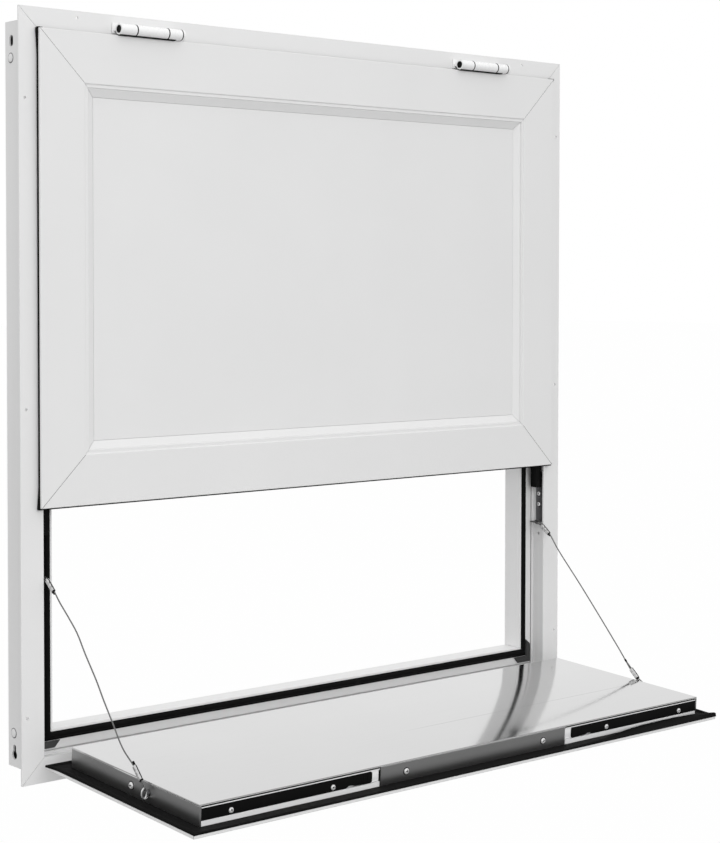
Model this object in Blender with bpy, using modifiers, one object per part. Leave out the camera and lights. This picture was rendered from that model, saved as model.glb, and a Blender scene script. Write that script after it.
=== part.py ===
"""Concession window: a mounting frame with a top-hung hatch and a fold-down shelf.

Metres, +Z up. X runs along the wall, +Y goes into the wall. Heights below are measured
from the flange's bottom edge. The origin is on the back face of the mounting flange, in
the middle of the bottom strip that lies against the wall.
"""
import bpy
import bmesh
from math import cos, pi, radians, sin
from mathutils import Matrix, Vector

# Overall frame
OUTER_WIDTH = 0.965
OUTER_HEIGHT = 0.976
FLANGE_T = 0.0025
FLANGE_FACE = 0.0325
FLANGE_OVERHANG = 0.0145
FRAME_DEPTH = 0.0555
SHEET = 0.002
TOUCH = 0.0003

# Rebate behind the flange
CHANNEL_UNDERCUT = 0.0052
LAND_DEPTH = 0.0245
LAND_SLOT_W = 0.0022
LAND_SLOT_DEPTH = 0.004
LIP_W = 0.0026
LIP_DEPTH = 0.0225
SEAL_D = 0.0092
SEAL_FIT = 0.00035
SEAL_SUNK = 0.004
SEAL_FROM_FLANGE = 0.0192
CORNER_KEY_EDGE = 0.0356
CORNER_KEY_SHORT = 0.027
CORNER_KEY_LONG = 0.035
CORNER_KEY_T = 0.002

# Mounting holes
FLANGE_HOLE_D = 0.004
FLANGE_HOLE_EDGE = 0.0085
FLANGE_HOLE_LOW = 0.085
FLANGE_HOLE_HIGH = 0.114
FLANGE_HOLE_SIDE = 0.0845
SIDE_SLOT_W = 0.0088
SIDE_SLOT_H = 0.0145
SIDE_SLOT_FROM_TOP = 0.039
KEYHOLE_SLOT_W = 0.0068
KEYHOLE_HEAD_D = 0.0118
KEYHOLE_DROP = 0.0098
KEYHOLE_FROM_BOTTOM = 0.030
SIDE_HOLE_DEPTH = 0.0405

# Leaves: the hatch above and the shelf below share one section
DOOR_STANDOFF = 0.0104
DOOR_SKIN_T = 0.0039
DOOR_MARGIN_SIDE = 0.0243
DOOR_MARGIN_END = 0.0265
DOOR_RAIL_W = 0.0643
HATCH_BOTTOM = 0.3488
DOOR_GAP = 0.006
PAN_MARGIN = 0.0209
PAN_DEPTH = 0.0273
PAN_WALL = 0.0016
PAN_INSET_HINGE = 0.0225
PAN_INSET_FREE = 0.0191
GASKET_W = 0.0055
GASKET_WEB = 0.0012
GASKET_TAPER = 0.030
GASKET_RISE = 0.35
HATCH_GASKET_OVERHANG = 0.002
SHELF_GASKET_OVERHANG = 0.0008
HATCH_GASKET_FLARES = (0.002, 0.0025, 0.005, 0.002)
SHELF_GASKET_FLARES = (0.0045, 0.002, 0.004, 0.0)
MOULDING_W = 0.0168
MOULDING_DEPTH = 0.0077
MOULDING_ROUND = 0.0014
MOULDING_FLAT = 0.004
MOULDING_STEP = 0.0018
MOULDING_LEAN = 0.0003
MOULDING_GROOVE = 0.0016
PANEL_T = 0.002

# Hinges
AXIS_FORWARD = 0.0137
AXIS_INSET = 0.0191
HINGE_FROM_LEFT = 0.1878
HINGE_FROM_RIGHT = 0.1791
HINGE_LENGTH = 0.099
KNUCKLE_ENDS = 0.025
BARREL_D = 0.0142
BARREL_BORE_D = 0.010
PIN_D = 0.005
PIN_FIT = 0.0005
KNUCKLE_GAP = 0.0017
PIN_HEAD_L = 0.004
PIN_RECESS = 0.004
LEAF_T = 0.0016
LEAF_REACH = 0.009
LEAF_EXTRA = 0.0025
WEB_T = 0.0032
SHELF_DROOP = radians(3.0)

# Gas struts
STRUT_FROM_WALL = 0.0113
STRUT_Y = 0.0085
STRUT_PIVOT_Z = 0.328
STRUT_STUD_FROM_AXIS = 0.140
STRUT_BLOCK_W = 0.011
STRUT_BLOCK_D = 0.0115
STRUT_BLOCK_BELOW = 0.015
STRUT_BLOCK_H = 0.0385
STRUT_TUBE_D = 0.0108
STRUT_EXPOSED = 0.046
STRUT_BORE_D = 0.0075
STRUT_ROD_D = 0.0055
STRUT_ROD_IN_TUBE = 0.143
STRUT_EYE_D = 0.0095
STRUT_EYE_T = 0.005
STUD_D = 0.005
STUD_FIT = 0.0006
STUD_CLEAR = 0.0007

# Stay brackets and cables
BRACKET_W = 0.0125
BRACKET_T = 0.0018
BRACKET_Y = 0.0107
BRACKET_FOOT_Z = 0.257
BRACKET_TOP_Z = 0.337
SPARE_HOLE_D = 0.004
SPARE_HOLE_Y = 0.0131
SPARE_HOLE_Z = 0.2386
EAR_REACH = 0.015
EAR_HOLE_D = 0.0052
CABLE_D = 0.002
CABLE_TOP_FROM_WALL = 0.0092
CABLE_END_FROM_PAN = 0.0055
CABLE_LOOP_R = 0.0052
FERRULE_D = 0.0052
FERRULE_START = (-0.0015, -0.003)
FERRULE_DROP = (0.0165, 0.0115)
END_FERRULE_L = 0.0165
EYE_FROM_AXIS = 0.2003
EYE_DEPTH = 0.014
EYE_FOOT_D = 0.009
EYE_FOOT_T = 0.0014
EYE_RING_W = 0.0095
EYE_RING_H = 0.0148
EYE_STOCK = 0.0022

# Slide latches in the free edge of the shelf
LATCH_INSET = 0.0028
LATCH_LENGTH = 0.269
LATCH_HEIGHT = 0.024
LATCH_DEPTH = 0.0065
LATCH_GAP = 0.0018
LATCH_LIP_T = 0.0032
LATCH_BAR_H = 0.0145
LATCH_BAR_DROP = 0.005
LATCH_FOOT_W = 0.0016
LATCH_FOOT_T = 0.0012
LATCH_FREE_END = 0.012
LATCH_PADDLE_L = 0.024
LATCH_PADDLE_STEP = 0.002
LATCH_PADDLE_CORNER = 0.003

ROUND = 32
CORNERS = ((-1, -1), (1, -1), (1, 1), (-1, 1))
SMALL_ROUND = 16
FRONT_Y = -FLANGE_T
DOOR_FACE_Y = FRONT_Y - DOOR_STANDOFF
DOOR_BACK_Y = DOOR_FACE_Y + DOOR_SKIN_T
PAN_BACK_Y = DOOR_BACK_Y + PAN_DEPTH
DOOR_HALF_WIDTH = OUTER_WIDTH / 2 - DOOR_MARGIN_SIDE
PAN_HALF_WIDTH = DOOR_HALF_WIDTH - PAN_MARGIN
HINGE_X = (HINGE_FROM_LEFT - OUTER_WIDTH / 2, OUTER_WIDTH / 2 - HINGE_FROM_RIGHT)
HATCH_TOP = OUTER_HEIGHT - DOOR_MARGIN_END
SHELF_BOTTOM = DOOR_MARGIN_END
SHELF_TOP = HATCH_BOTTOM - DOOR_GAP
AXIS_Y = FRONT_Y - AXIS_FORWARD
HATCH_AXIS = Vector((0.0, AXIS_Y, OUTER_HEIGHT - AXIS_INSET))
SHELF_AXIS = Vector((0.0, AXIS_Y, AXIS_INSET))
WALL_U = FLANGE_FACE - CHANNEL_UNDERCUT
WALL_X = OUTER_WIDTH / 2 - WALL_U
SEAL_CENTRE_U = FLANGE_FACE + SEAL_FROM_FLANGE
SEAL_GROOVE_W = SEAL_D + 2 * SEAL_FIT
LIP_START_U = SEAL_CENTRE_U + SEAL_GROOVE_W / 2
LINER_U = LIP_START_U + LIP_W
STUD_Z = HATCH_AXIS.z - STRUT_STUD_FROM_AXIS
STRUT_X = WALL_X - STRUT_FROM_WALL
CABLE_TOP_X = WALL_X - CABLE_TOP_FROM_WALL
CABLE_END_X = PAN_HALF_WIDTH + CABLE_END_FROM_PAN
LATCH_OUTER_X = PAN_HALF_WIDTH - LATCH_INSET
LATCH_INNER_X = LATCH_OUTER_X - LATCH_LENGTH
LATCH_FACE_Z = SHELF_TOP - PAN_INSET_FREE
PAN_SHEET_Y = PAN_BACK_Y - PAN_WALL

WHITE = ("white_paint", (0.80, 0.80, 0.79), 0.45, 0.0)
RUBBER = ("black_rubber", (0.012, 0.012, 0.012), 0.75, 0.0)
PLASTIC = ("black_plastic", (0.015, 0.015, 0.016), 0.5, 0.0)
GREY_PLASTIC = ("grey_plastic", (0.09, 0.09, 0.09), 0.6, 0.0)
STAINLESS = ("stainless_steel", (0.62, 0.62, 0.61), 0.28, 1.0)
ALUMINIUM = ("bare_aluminium", (0.75, 0.75, 0.76), 0.35, 1.0)
ZINC = ("zinc_steel", (0.45, 0.45, 0.46), 0.4, 1.0)
BLACK_STEEL = ("black_steel", (0.02, 0.02, 0.02), 0.4, 0.0)

for old in list(bpy.data.objects):
    bpy.data.objects.remove(old, do_unlink=True)

window = bpy.data.collections.new("concession_window")
cutters = bpy.data.collections.new("cutters")
for collection in (window, cutters):
    bpy.context.scene.collection.children.link(collection)

base = bpy.data.objects.new("flange_bottom_edge", None)
base.location.z = -FLANGE_OVERHANG / 2
window.objects.link(base)


def finish(spec):
    """The Principled material of one finish, made once."""
    name, colour, roughness, metallic = spec
    if name in bpy.data.materials:
        return bpy.data.materials[name]
    material = bpy.data.materials.new(name)
    material.use_nodes = True
    shader = material.node_tree.nodes["Principled BSDF"]
    shader.inputs["Base Color"].default_value = (*colour, 1.0)
    shader.inputs["Roughness"].default_value = roughness
    shader.inputs["Metallic"].default_value = metallic
    return material


def add(name, bm, spec, parent=None, smooth=False, where=window):
    """An object from a bmesh, in its parent's frame."""
    bmesh.ops.recalc_face_normals(bm, faces=bm.faces)
    mesh = bpy.data.meshes.new(name)
    bm.to_mesh(mesh)
    bm.free()
    if smooth:
        mesh.shade_smooth()
        mesh.set_sharp_from_angle(angle=radians(35.0))
    thing = bpy.data.objects.new(name, mesh)
    where.objects.link(thing)
    if spec:
        mesh.materials.append(finish(spec))
    if where is cutters:
        thing.hide_render = True
        thing.display_type = "WIRE"
    thing.parent = parent or base
    return thing


def pivot(name, point, parent=None):
    """An empty on a joint's axis."""
    empty = bpy.data.objects.new(name, None)
    window.objects.link(empty)
    empty.location = Vector(point) - home(parent)
    empty.parent = parent or base
    return empty


def home(parent):
    """Where the parent empty stands on the window before it is turned."""
    return parent.location.copy() if parent else Vector()


def block(name, low, high, spec, parent=None, where=window):
    """A box between two corners."""
    low, high = Vector(low), Vector(high)
    bm = bmesh.new()
    bmesh.ops.create_cube(bm, size=1.0)
    bmesh.ops.scale(bm, vec=high - low, verts=bm.verts)
    thing = add(name, bm, spec, parent, where=where)
    thing.location = (low + high) / 2 - home(parent)
    return thing


def rod(name, start, end, diameter, spec, parent=None, sides=ROUND, where=window):
    """A round bar between two points."""
    start, end = Vector(start), Vector(end)
    along = end - start
    bm = bmesh.new()
    bmesh.ops.create_cone(bm, cap_ends=True, segments=sides, radius1=diameter / 2,
                          radius2=diameter / 2, depth=along.length)
    thing = add(name, bm, spec, parent, smooth=True, where=where)
    thing.rotation_euler = along.to_track_quat("Z", "Y").to_euler()
    thing.location = (start + end) / 2 - home(parent)
    return thing


def outline_mesh(loops, half_length):
    """A flat outline with holes, extruded both ways along Z, as a closed bmesh."""
    curve = bpy.data.curves.new("outline", "CURVE")
    curve.dimensions = "2D"
    curve.fill_mode = "BOTH"
    curve.extrude = half_length
    for loop in loops:
        spline = curve.splines.new("POLY")
        spline.points.add(len(loop) - 1)
        for point, (a, b) in zip(spline.points, loop):
            point.co = (a, b, 0.0, 1.0)
        spline.use_cyclic_u = True
    shape = bpy.data.objects.new("outline", curve)
    window.objects.link(shape)
    graph = bpy.context.evaluated_depsgraph_get()
    mesh = bpy.data.meshes.new_from_object(shape.evaluated_get(graph))
    bpy.data.objects.remove(shape)
    bm = bmesh.new()
    bm.from_mesh(mesh)
    bmesh.ops.remove_doubles(bm, verts=bm.verts, dist=0.00001)
    return bm


def mitred_rail(name, side, loops, half_length, edge, spec, parent=None):
    """One mitred side of a rectangular frame.

    The section is drawn as inward distance and depth. The rail is turned about Y to
    stand on its side of the frame, with its outer edge at the given place.
    """
    bm = outline_mesh(loops, half_length)
    for vert in bm.verts:
        end = half_length - vert.co.x - TOUCH
        vert.co.z = end if vert.co.z > 0 else -end
    rail = add(name, bm, spec, parent)
    rail.rotation_euler.y = {"left": 0.0, "head": pi / 2, "right": pi, "sill": -pi / 2}[side]
    rail.location = Vector(edge) - home(parent)
    return rail


def closed_ring(name, sections, spec, parent=None):
    """A closed ring lofted through sections that all have as many points."""
    bm = bmesh.new()
    rings = []
    for section in sections:
        verts = [bm.verts.new(point) for point in section]
        rings.append([bm.edges.new((verts[i - 1], verts[i])) for i in range(len(verts))])
    for i, ring in enumerate(rings):
        bmesh.ops.bridge_loops(bm, edges=rings[i - 1] + ring)
    ring_body = add(name, bm, spec, parent)
    ring_body.location = -home(parent)
    return ring_body


def tray(name, low, high, wall, spec, parent):
    """A box open towards the front, with a wall thickness."""
    low, high = Vector(low), Vector(high)
    bm = bmesh.new()
    bmesh.ops.create_cube(bm, size=1.0)
    bmesh.ops.scale(bm, vec=high - low, verts=bm.verts)
    front = [face for face in bm.faces if face.normal.y < -0.5]
    bmesh.ops.delete(bm, geom=front, context="FACES_ONLY")
    mesh = bpy.data.meshes.new(name)
    bm.to_mesh(mesh)
    bm.free()
    thing = bpy.data.objects.new(name, mesh)
    window.objects.link(thing)
    mesh.materials.append(finish(spec))
    shell = thing.modifiers.new("wall", "SOLIDIFY")
    shell.thickness = wall
    shell.offset = -1.0
    shell.use_even_offset = True
    thing.parent = parent
    thing.location = (low + high) / 2 - home(parent)
    return thing


def cut(thing, cutter):
    """Cut one solid out of another."""
    step = thing.modifiers.new("cut", "BOOLEAN")
    step.operation = "DIFFERENCE"
    step.solver = "EXACT"
    step.object = cutter


def join(thing, other):
    """Join another solid to this one, and keep it as a hidden guide."""
    window.objects.unlink(other)
    cutters.objects.link(other)
    other.hide_render = True
    other.display_type = "WIRE"
    step = thing.modifiers.new("join", "BOOLEAN")
    step.operation = "UNION"
    step.solver = "EXACT"
    step.object = other


def frame_section():
    """Hollow frame extrusion: flange, rebate for the leaves, seal groove, lip and box."""
    back = FRAME_DEPTH
    face = FRONT_Y
    box_u = FLANGE_OVERHANG
    slot_u = WALL_U + LAND_SLOT_W * 2
    groove_u = LIP_START_U - SEAL_GROOVE_W
    groove_y = LAND_DEPTH + SEAL_SUNK
    outer = [(0.0, face), (FLANGE_FACE, face), (FLANGE_FACE, 0.0), (WALL_U, 0.0),
             (WALL_U, LAND_DEPTH), (slot_u, LAND_DEPTH), (slot_u, LAND_DEPTH + LAND_SLOT_DEPTH),
             (slot_u + LAND_SLOT_W, LAND_DEPTH + LAND_SLOT_DEPTH),
             (slot_u + LAND_SLOT_W, LAND_DEPTH), (groove_u, LAND_DEPTH), (groove_u, groove_y),
             (LIP_START_U, groove_y), (LIP_START_U, LIP_DEPTH), (LINER_U, LIP_DEPTH),
             (LINER_U, back), (box_u, back), (box_u, 0.0), (0.0, 0.0)]
    floor = groove_y + SHEET
    hollow = [(box_u + SHEET, 0.0), (WALL_U - SHEET, 0.0), (WALL_U - SHEET, floor),
              (LINER_U - SHEET, floor), (LINER_U - SHEET, back - SHEET),
              (box_u + SHEET, back - SHEET)]
    return [outer, hollow]


def make_frame():
    """Four mitred frame rails with their holes, the bulb seal and the corner blocks."""
    half_w = OUTER_WIDTH / 2
    half_h = OUTER_HEIGHT / 2
    section = frame_section()
    spots = {"left": ((-half_w, 0, half_h), half_h, "left_jamb"),
             "right": ((half_w, 0, half_h), half_h, "right_jamb"),
             "head": ((0, 0, OUTER_HEIGHT), half_w, "head_rail"),
             "sill": ((0, 0, 0), half_w, "sill_rail")}
    rails = {side: mitred_rail("frame_" + name, side, section, length, edge, WHITE)
             for side, (edge, length, name) in spots.items()}
    for side, sign in (("left", -1), ("right", 1)):
        hole_x = sign * (half_w - FLANGE_HOLE_EDGE)
        high = OUTER_HEIGHT - FLANGE_HOLE_HIGH
        for z in (FLANGE_HOLE_LOW, (FLANGE_HOLE_LOW + high) / 2, high):
            cut(rails[side], flange_drill(side, hole_x, z))
        cut_side_holes(rails[side], side, sign)
    for side, z in (("head", OUTER_HEIGHT - FLANGE_HOLE_EDGE), ("sill", FLANGE_HOLE_EDGE)):
        for sign in (-1, 1):
            cut(rails[side], flange_drill(side, sign * (half_w - FLANGE_HOLE_SIDE), z))
    make_seal(half_w, half_h)
    make_corner_blocks(half_w)


def flange_drill(tag, x, z):
    """A drill through the flange."""
    reach = 2 * FLANGE_T
    return rod("drill_" + tag, (x, -reach, z), (x, reach, z), FLANGE_HOLE_D, None,
               sides=SMALL_ROUND, where=cutters)


def cut_side_holes(jamb, side, sign):
    """A slot near the head and a keyhole near the sill, through the outer wall."""
    x = sign * (OUTER_WIDTH / 2 - FLANGE_OVERHANG)
    inner, outer = sorted((x - 2 * SHEET, x + 2 * SHEET))
    top = OUTER_HEIGHT - SIDE_SLOT_FROM_TOP
    slot_half = SIDE_SLOT_H / 2 - SIDE_SLOT_W / 2
    cut(jamb, slotted_plug("slot_" + side, inner, outer, top, slot_half, SIDE_SLOT_W))
    wall = sign * WALL_X
    cut(jamb, rod("spare_hole_" + side, (wall - 2 * SHEET, SPARE_HOLE_Y, SPARE_HOLE_Z),
                  (wall + 2 * SHEET, SPARE_HOLE_Y, SPARE_HOLE_Z), SPARE_HOLE_D, None,
                  sides=SMALL_ROUND, where=cutters))
    neck_z = KEYHOLE_FROM_BOTTOM + KEYHOLE_DROP / 2
    cut(jamb, slotted_plug("keyhole_neck_" + side, inner, outer, neck_z, KEYHOLE_DROP / 2,
                           KEYHOLE_SLOT_W))
    cut(jamb, rod("keyhole_head_" + side, (inner, SIDE_HOLE_DEPTH, KEYHOLE_FROM_BOTTOM),
                  (outer, SIDE_HOLE_DEPTH, KEYHOLE_FROM_BOTTOM), KEYHOLE_HEAD_D, None,
                  sides=SMALL_ROUND, where=cutters))


def slotted_plug(name, low_x, high_x, z, half, width):
    """A round-ended slot cutter that runs along X."""
    steps = SMALL_ROUND // 2
    loop = []
    for sign, centre in ((1, half), (-1, -half)):
        for i in range(steps + 1):
            turn = pi * i / steps + (0 if sign > 0 else pi)
            loop.append((width / 2 * cos(turn), centre + width / 2 * sin(turn)))
    bm = outline_mesh([loop], (high_x - low_x) / 2)
    bmesh.ops.rotate(bm, matrix=Matrix(((0, 0, 1), (1, 0, 0), (0, 1, 0))), verts=bm.verts)
    thing = add(name, bm, None, where=cutters)
    thing.location = ((low_x + high_x) / 2, SIDE_HOLE_DEPTH, z)
    return thing


def make_seal(half_w, half_h):
    """The bulb seal, a black tube in the groove all round the rebate."""
    sides = 12
    radius = SEAL_D / 2
    middle = LAND_DEPTH + SEAL_SUNK - TOUCH - radius
    loop = [(SEAL_CENTRE_U + radius * cos(2 * pi * i / sides),
             middle + radius * sin(2 * pi * i / sides)) for i in range(sides)]
    sections = [[(right * (half_w - u), depth, half_h + up * (half_h - u)) for u, depth in loop]
                for right, up in CORNERS]
    closed_ring("frame_bulb_seal", sections, RUBBER)


def make_corner_blocks(half_w):
    """Dark corner keys on the land of the rebate, outside the bulb."""
    near = CORNER_KEY_EDGE
    short = near + CORNER_KEY_SHORT
    reach = near + CORNER_KEY_LONG
    inner = SEAL_CENTRE_U - SEAL_GROOVE_W / 2 - LAND_SLOT_W
    loop = [(near, near), (short, near), (reach, inner), (inner, inner), (inner, reach),
            (near, short)]
    for side, sign in (("left", -1), ("right", 1)):
        for level, up in (("lower", 1), ("upper", -1)):
            bm = outline_mesh([loop], CORNER_KEY_T / 2)
            for vert in bm.verts:
                u, v, t = vert.co
                vert.co = (-sign * u, t, up * v)
            key = add("corner_key_" + level + "_" + side, bm, GREY_PLASTIC)
            height = 0.0 if level == "lower" else OUTER_HEIGHT
            key.location = (sign * half_w, LAND_DEPTH - TOUCH - CORNER_KEY_T / 2, height)


def leaf_section():
    """Rail of a leaf: flat skin, then a stepped moulding down to the panel."""
    ease = DOOR_SKIN_T / 6
    start = DOOR_RAIL_W
    end = start + MOULDING_W
    deep = DOOR_FACE_Y + MOULDING_DEPTH
    flat = DOOR_FACE_Y + MOULDING_ROUND
    step = start + MOULDING_FLAT + MOULDING_ROUND
    groove = flat + MOULDING_STEP
    return [[(0.0, DOOR_BACK_Y), (0.0, DOOR_FACE_Y + ease), (ease, DOOR_FACE_Y),
             (start, DOOR_FACE_Y), (start + MOULDING_ROUND * 0.7, DOOR_FACE_Y + MOULDING_ROUND * 0.3),
             (start + MOULDING_ROUND, flat), (step, flat), (step + MOULDING_LEAN, groove),
             (step + MOULDING_GROOVE, groove), (end, deep),
             (end, deep + PANEL_T), (start, deep + PANEL_T), (start, DOOR_BACK_Y)]]


def make_leaf(tag, bottom, top, pan_low, pan_high, pan_spec, parent):
    """A leaf in its closed place: mitred rails, panel and inner pan."""
    half_h = (top - bottom) / 2
    middle = (top + bottom) / 2
    edges = {"left": ((-DOOR_HALF_WIDTH, 0, middle), half_h),
             "right": ((DOOR_HALF_WIDTH, 0, middle), half_h),
             "head": ((0, 0, top), DOOR_HALF_WIDTH), "sill": ((0, 0, bottom), DOOR_HALF_WIDTH)}
    names = {"left": "left_rail", "right": "right_rail", "head": "top_rail", "sill": "bottom_rail"}
    for side, (edge, length) in edges.items():
        mitred_rail(tag + "_" + names[side], side, leaf_section(), length, edge, WHITE, parent)
    inner = DOOR_RAIL_W + MOULDING_W + TOUCH
    deep = DOOR_FACE_Y + MOULDING_DEPTH
    block(tag + "_panel", (-DOOR_HALF_WIDTH + inner, deep, bottom + inner),
          (DOOR_HALF_WIDTH - inner, deep + PANEL_T, top - inner), WHITE, parent)
    return tray(tag + "_inner_pan", (-PAN_HALF_WIDTH, DOOR_BACK_Y + TOUCH, pan_low),
                (PAN_HALF_WIDTH, PAN_BACK_Y, pan_high), PAN_WALL, pan_spec, parent)


def make_gasket(name, edges, pan_edges, hinge_up, flares, parent):
    """Rubber web on a leaf's back with a bulb along its edge, pushed outward at the corners."""
    half_w = DOOR_HALF_WIDTH - TOUCH
    pan_half_w = PAN_HALF_WIDTH + TOUCH
    sections = []
    for (right, up), flare in zip(CORNERS, flares):
        edge, pan_edge = edges[up > 0], pan_edges[up > 0]
        rise = flare * GASKET_RISE if up == hinge_up else 0.0
        beside, along = edge - up * GASKET_TAPER, right * (half_w - GASKET_TAPER)
        corner = gasket_section((right * (half_w + flare), edge + up * rise),
                                (right * pan_half_w, pan_edge), (-right, -up))
        upright = gasket_section((right * half_w, beside), (right * pan_half_w, beside), (-right, 0))
        level = gasket_section((along, edge), (along, pan_edge), (0, -up))
        sections += [upright, corner, level] if right == up else [level, corner, upright]
    closed_ring(name, sections, RUBBER, parent)


def gasket_section(outer, inner, inward):
    """Section of a leaf's gasket between its outer edge and the pan's wall."""
    front, back = DOOR_BACK_Y + TOUCH, FRONT_Y - TOUCH
    ease = GASKET_W / 4
    at = lambda reach, y: (outer[0] + inward[0] * reach, y, outer[1] + inward[1] * reach)
    return [(inner[0], front, inner[1]), at(0, front), at(0, back - ease), at(ease, back),
            at(GASKET_W - ease, back), at(GASKET_W, back - ease), at(GASKET_W, front + GASKET_WEB),
            (inner[0], front + GASKET_WEB, inner[1])]


def make_hinge(tag, x, axis, up, leaf_parent):
    """A three-knuckle barrel hinge: the outer knuckles on the frame, the middle on the leaf."""
    left = x - HINGE_LENGTH / 2
    right = x + HINGE_LENGTH / 2 - PIN_HEAD_L
    first = left + KNUCKLE_ENDS
    second = right - KNUCKLE_ENDS + PIN_HEAD_L
    at = lambda place: Vector((place, axis.y, axis.z))
    plate_low, plate_high = sorted((axis.z - up * LEAF_REACH / 2, axis.z + up * LEAF_REACH))
    plate_back = FRONT_Y - TOUCH
    frame_leaf = block(tag + "_frame_leaf", (left - LEAF_EXTRA, plate_back - LEAF_T, plate_low),
                       (right, plate_back, plate_high), WHITE)
    for start, end in ((left, first - KNUCKLE_GAP / 2), (second + KNUCKLE_GAP / 2, right)):
        join(frame_leaf, block("web", (start, axis.y, axis.z - WEB_T / 2),
                               (end, plate_back - LEAF_T / 2, axis.z + WEB_T / 2), WHITE))
        join(frame_leaf, rod("knuckle", at(start), at(end), BARREL_D, WHITE))
    join(frame_leaf, rod("pin", at(left + 2 * PIN_RECESS), at(right + PIN_HEAD_L / 2), PIN_D, WHITE))
    join(frame_leaf, rod("pin_head", at(right + KNUCKLE_GAP / 2), at(right + PIN_HEAD_L),
                         BARREL_D, WHITE))
    cut(frame_leaf, rod(tag + "_recess", at(left - PIN_RECESS), at(left + PIN_RECESS),
                        BARREL_BORE_D, None, where=cutters))
    start, end = first + KNUCKLE_GAP / 2, second - KNUCKLE_GAP / 2
    seat = (OUTER_HEIGHT - DOOR_MARGIN_END) if up > 0 else DOOR_MARGIN_END
    web_low, web_high = sorted((seat + up * TOUCH, axis.z))
    leaf = block(tag + "_leaf_knuckle", (start, DOOR_FACE_Y, web_low),
                 (end, DOOR_BACK_Y, web_high), WHITE, leaf_parent)
    barrel = rod("middle_knuckle", at(start), at(end), BARREL_D, WHITE, leaf_parent)
    join(leaf, barrel)
    cut(leaf, rod(tag + "_bore", at(start - PIN_D), at(end + PIN_D), PIN_D + 2 * PIN_FIT,
                  None, leaf_parent, where=cutters))


def make_strut(tag, sign, hatch):
    """A gas strut: the tube turns on the bracket's stud and the rod slides in it."""
    x = sign * STRUT_X
    tube_axis = pivot("strut_axis_" + tag, (x, STRUT_Y, STRUT_PIVOT_Z))
    low = STRUT_PIVOT_Z - STRUT_BLOCK_BELOW
    half_w, half_d = STRUT_BLOCK_W / 2, STRUT_BLOCK_D / 2
    tube = block("strut_tube_" + tag, (x - half_w, STRUT_Y - half_d, low),
                 (x + half_w, STRUT_Y + half_d, low + STRUT_BLOCK_H), BLACK_STEEL, tube_axis)
    tube_top = STUD_Z - STRUT_EXPOSED
    join(tube, rod("strut_barrel", (x, STRUT_Y, low + STRUT_BLOCK_H / 2),
                   (x, STRUT_Y, tube_top), STRUT_TUBE_D, BLACK_STEEL, tube_axis))
    stud_bore = STUD_D + 2 * STUD_FIT
    outer_x = sign * (STRUT_X + STRUT_BLOCK_W)
    inner_x = sign * (STRUT_X - STRUT_BLOCK_W / 4)
    cut(tube, rod("strut_bore_" + tag, (inner_x, STRUT_Y, STRUT_PIVOT_Z),
                  (outer_x, STRUT_Y, STRUT_PIVOT_Z), stud_bore, None, tube_axis,
                  sides=SMALL_ROUND, where=cutters))
    rod_low = tube_top - STRUT_ROD_IN_TUBE
    cut(tube, rod("strut_hollow_" + tag, (x, STRUT_Y, rod_low - STRUT_BLOCK_BELOW),
                  (x, STRUT_Y, tube_top + STRUT_BLOCK_BELOW), STRUT_BORE_D, None, tube_axis,
                  sides=SMALL_ROUND, where=cutters))
    slide_axis = pivot("strut_slide_" + tag, (x, STRUT_Y, STUD_Z))
    half_eye = STRUT_EYE_T / 2
    piston = rod("strut_rod_" + tag, (x - half_eye, STRUT_Y, STUD_Z),
                 (x + half_eye, STRUT_Y, STUD_Z), STRUT_EYE_D, ZINC, slide_axis)
    join(piston, rod("strut_shaft", (x, STRUT_Y, rod_low), (x, STRUT_Y, STUD_Z - STRUT_EYE_D / 4),
                     STRUT_ROD_D, ZINC, slide_axis, sides=SMALL_ROUND))
    side = sign * PAN_HALF_WIDTH
    tip = sign * (STRUT_X - half_eye - STUD_CLEAR)
    rod("hatch_strut_stud_" + tag, (side + sign * TOUCH, STRUT_Y, STUD_Z),
        (tip, STRUT_Y, STUD_Z), STRUT_EYE_D, ZINC, hatch)


def make_bracket(tag, sign):
    """Strip on the rebate wall with the strut's stud at its head and an ear for the cable."""
    wall = WALL_X - TOUCH
    near, far = sorted((sign * (wall - BRACKET_T), sign * wall))
    half = BRACKET_W / 2
    strip = block("stay_bracket_" + tag, (near, BRACKET_Y - half, BRACKET_FOOT_Z),
                  (far, BRACKET_Y + half, BRACKET_TOP_Z), ZINC)
    ear_in = sign * (wall - EAR_REACH)
    low, high = sorted((sign * (wall - BRACKET_T / 2), ear_in))
    join(strip, block("ear", (low, BRACKET_Y - half, BRACKET_FOOT_Z),
                      (high, BRACKET_Y + half, BRACKET_FOOT_Z + BRACKET_T), ZINC))
    join(strip, rod("stud", (sign * (wall - BRACKET_T / 2), STRUT_Y, STRUT_PIVOT_Z),
                    (sign * STRUT_X, STRUT_Y, STRUT_PIVOT_Z), STUD_D, ZINC, sides=SMALL_ROUND))
    ear_hole = (sign * CABLE_TOP_X, BRACKET_Y, BRACKET_FOOT_Z)
    cut(strip, rod("ear_hole_" + tag, Vector(ear_hole) - Vector((0, 0, BRACKET_W)),
                   Vector(ear_hole) + Vector((0, 0, BRACKET_W)), EAR_HOLE_D, None,
                   sides=SMALL_ROUND, where=cutters))


def opened(point):
    """Where a point of the closed shelf lies when the shelf is let down."""
    turn = pi / 2 + SHELF_DROOP
    y, z = point[1] - SHELF_AXIS.y, point[2] - SHELF_AXIS.z
    return Vector((point[0], SHELF_AXIS.y + y * cos(turn) - z * sin(turn),
                   SHELF_AXIS.z + y * sin(turn) + z * cos(turn)))


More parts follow.
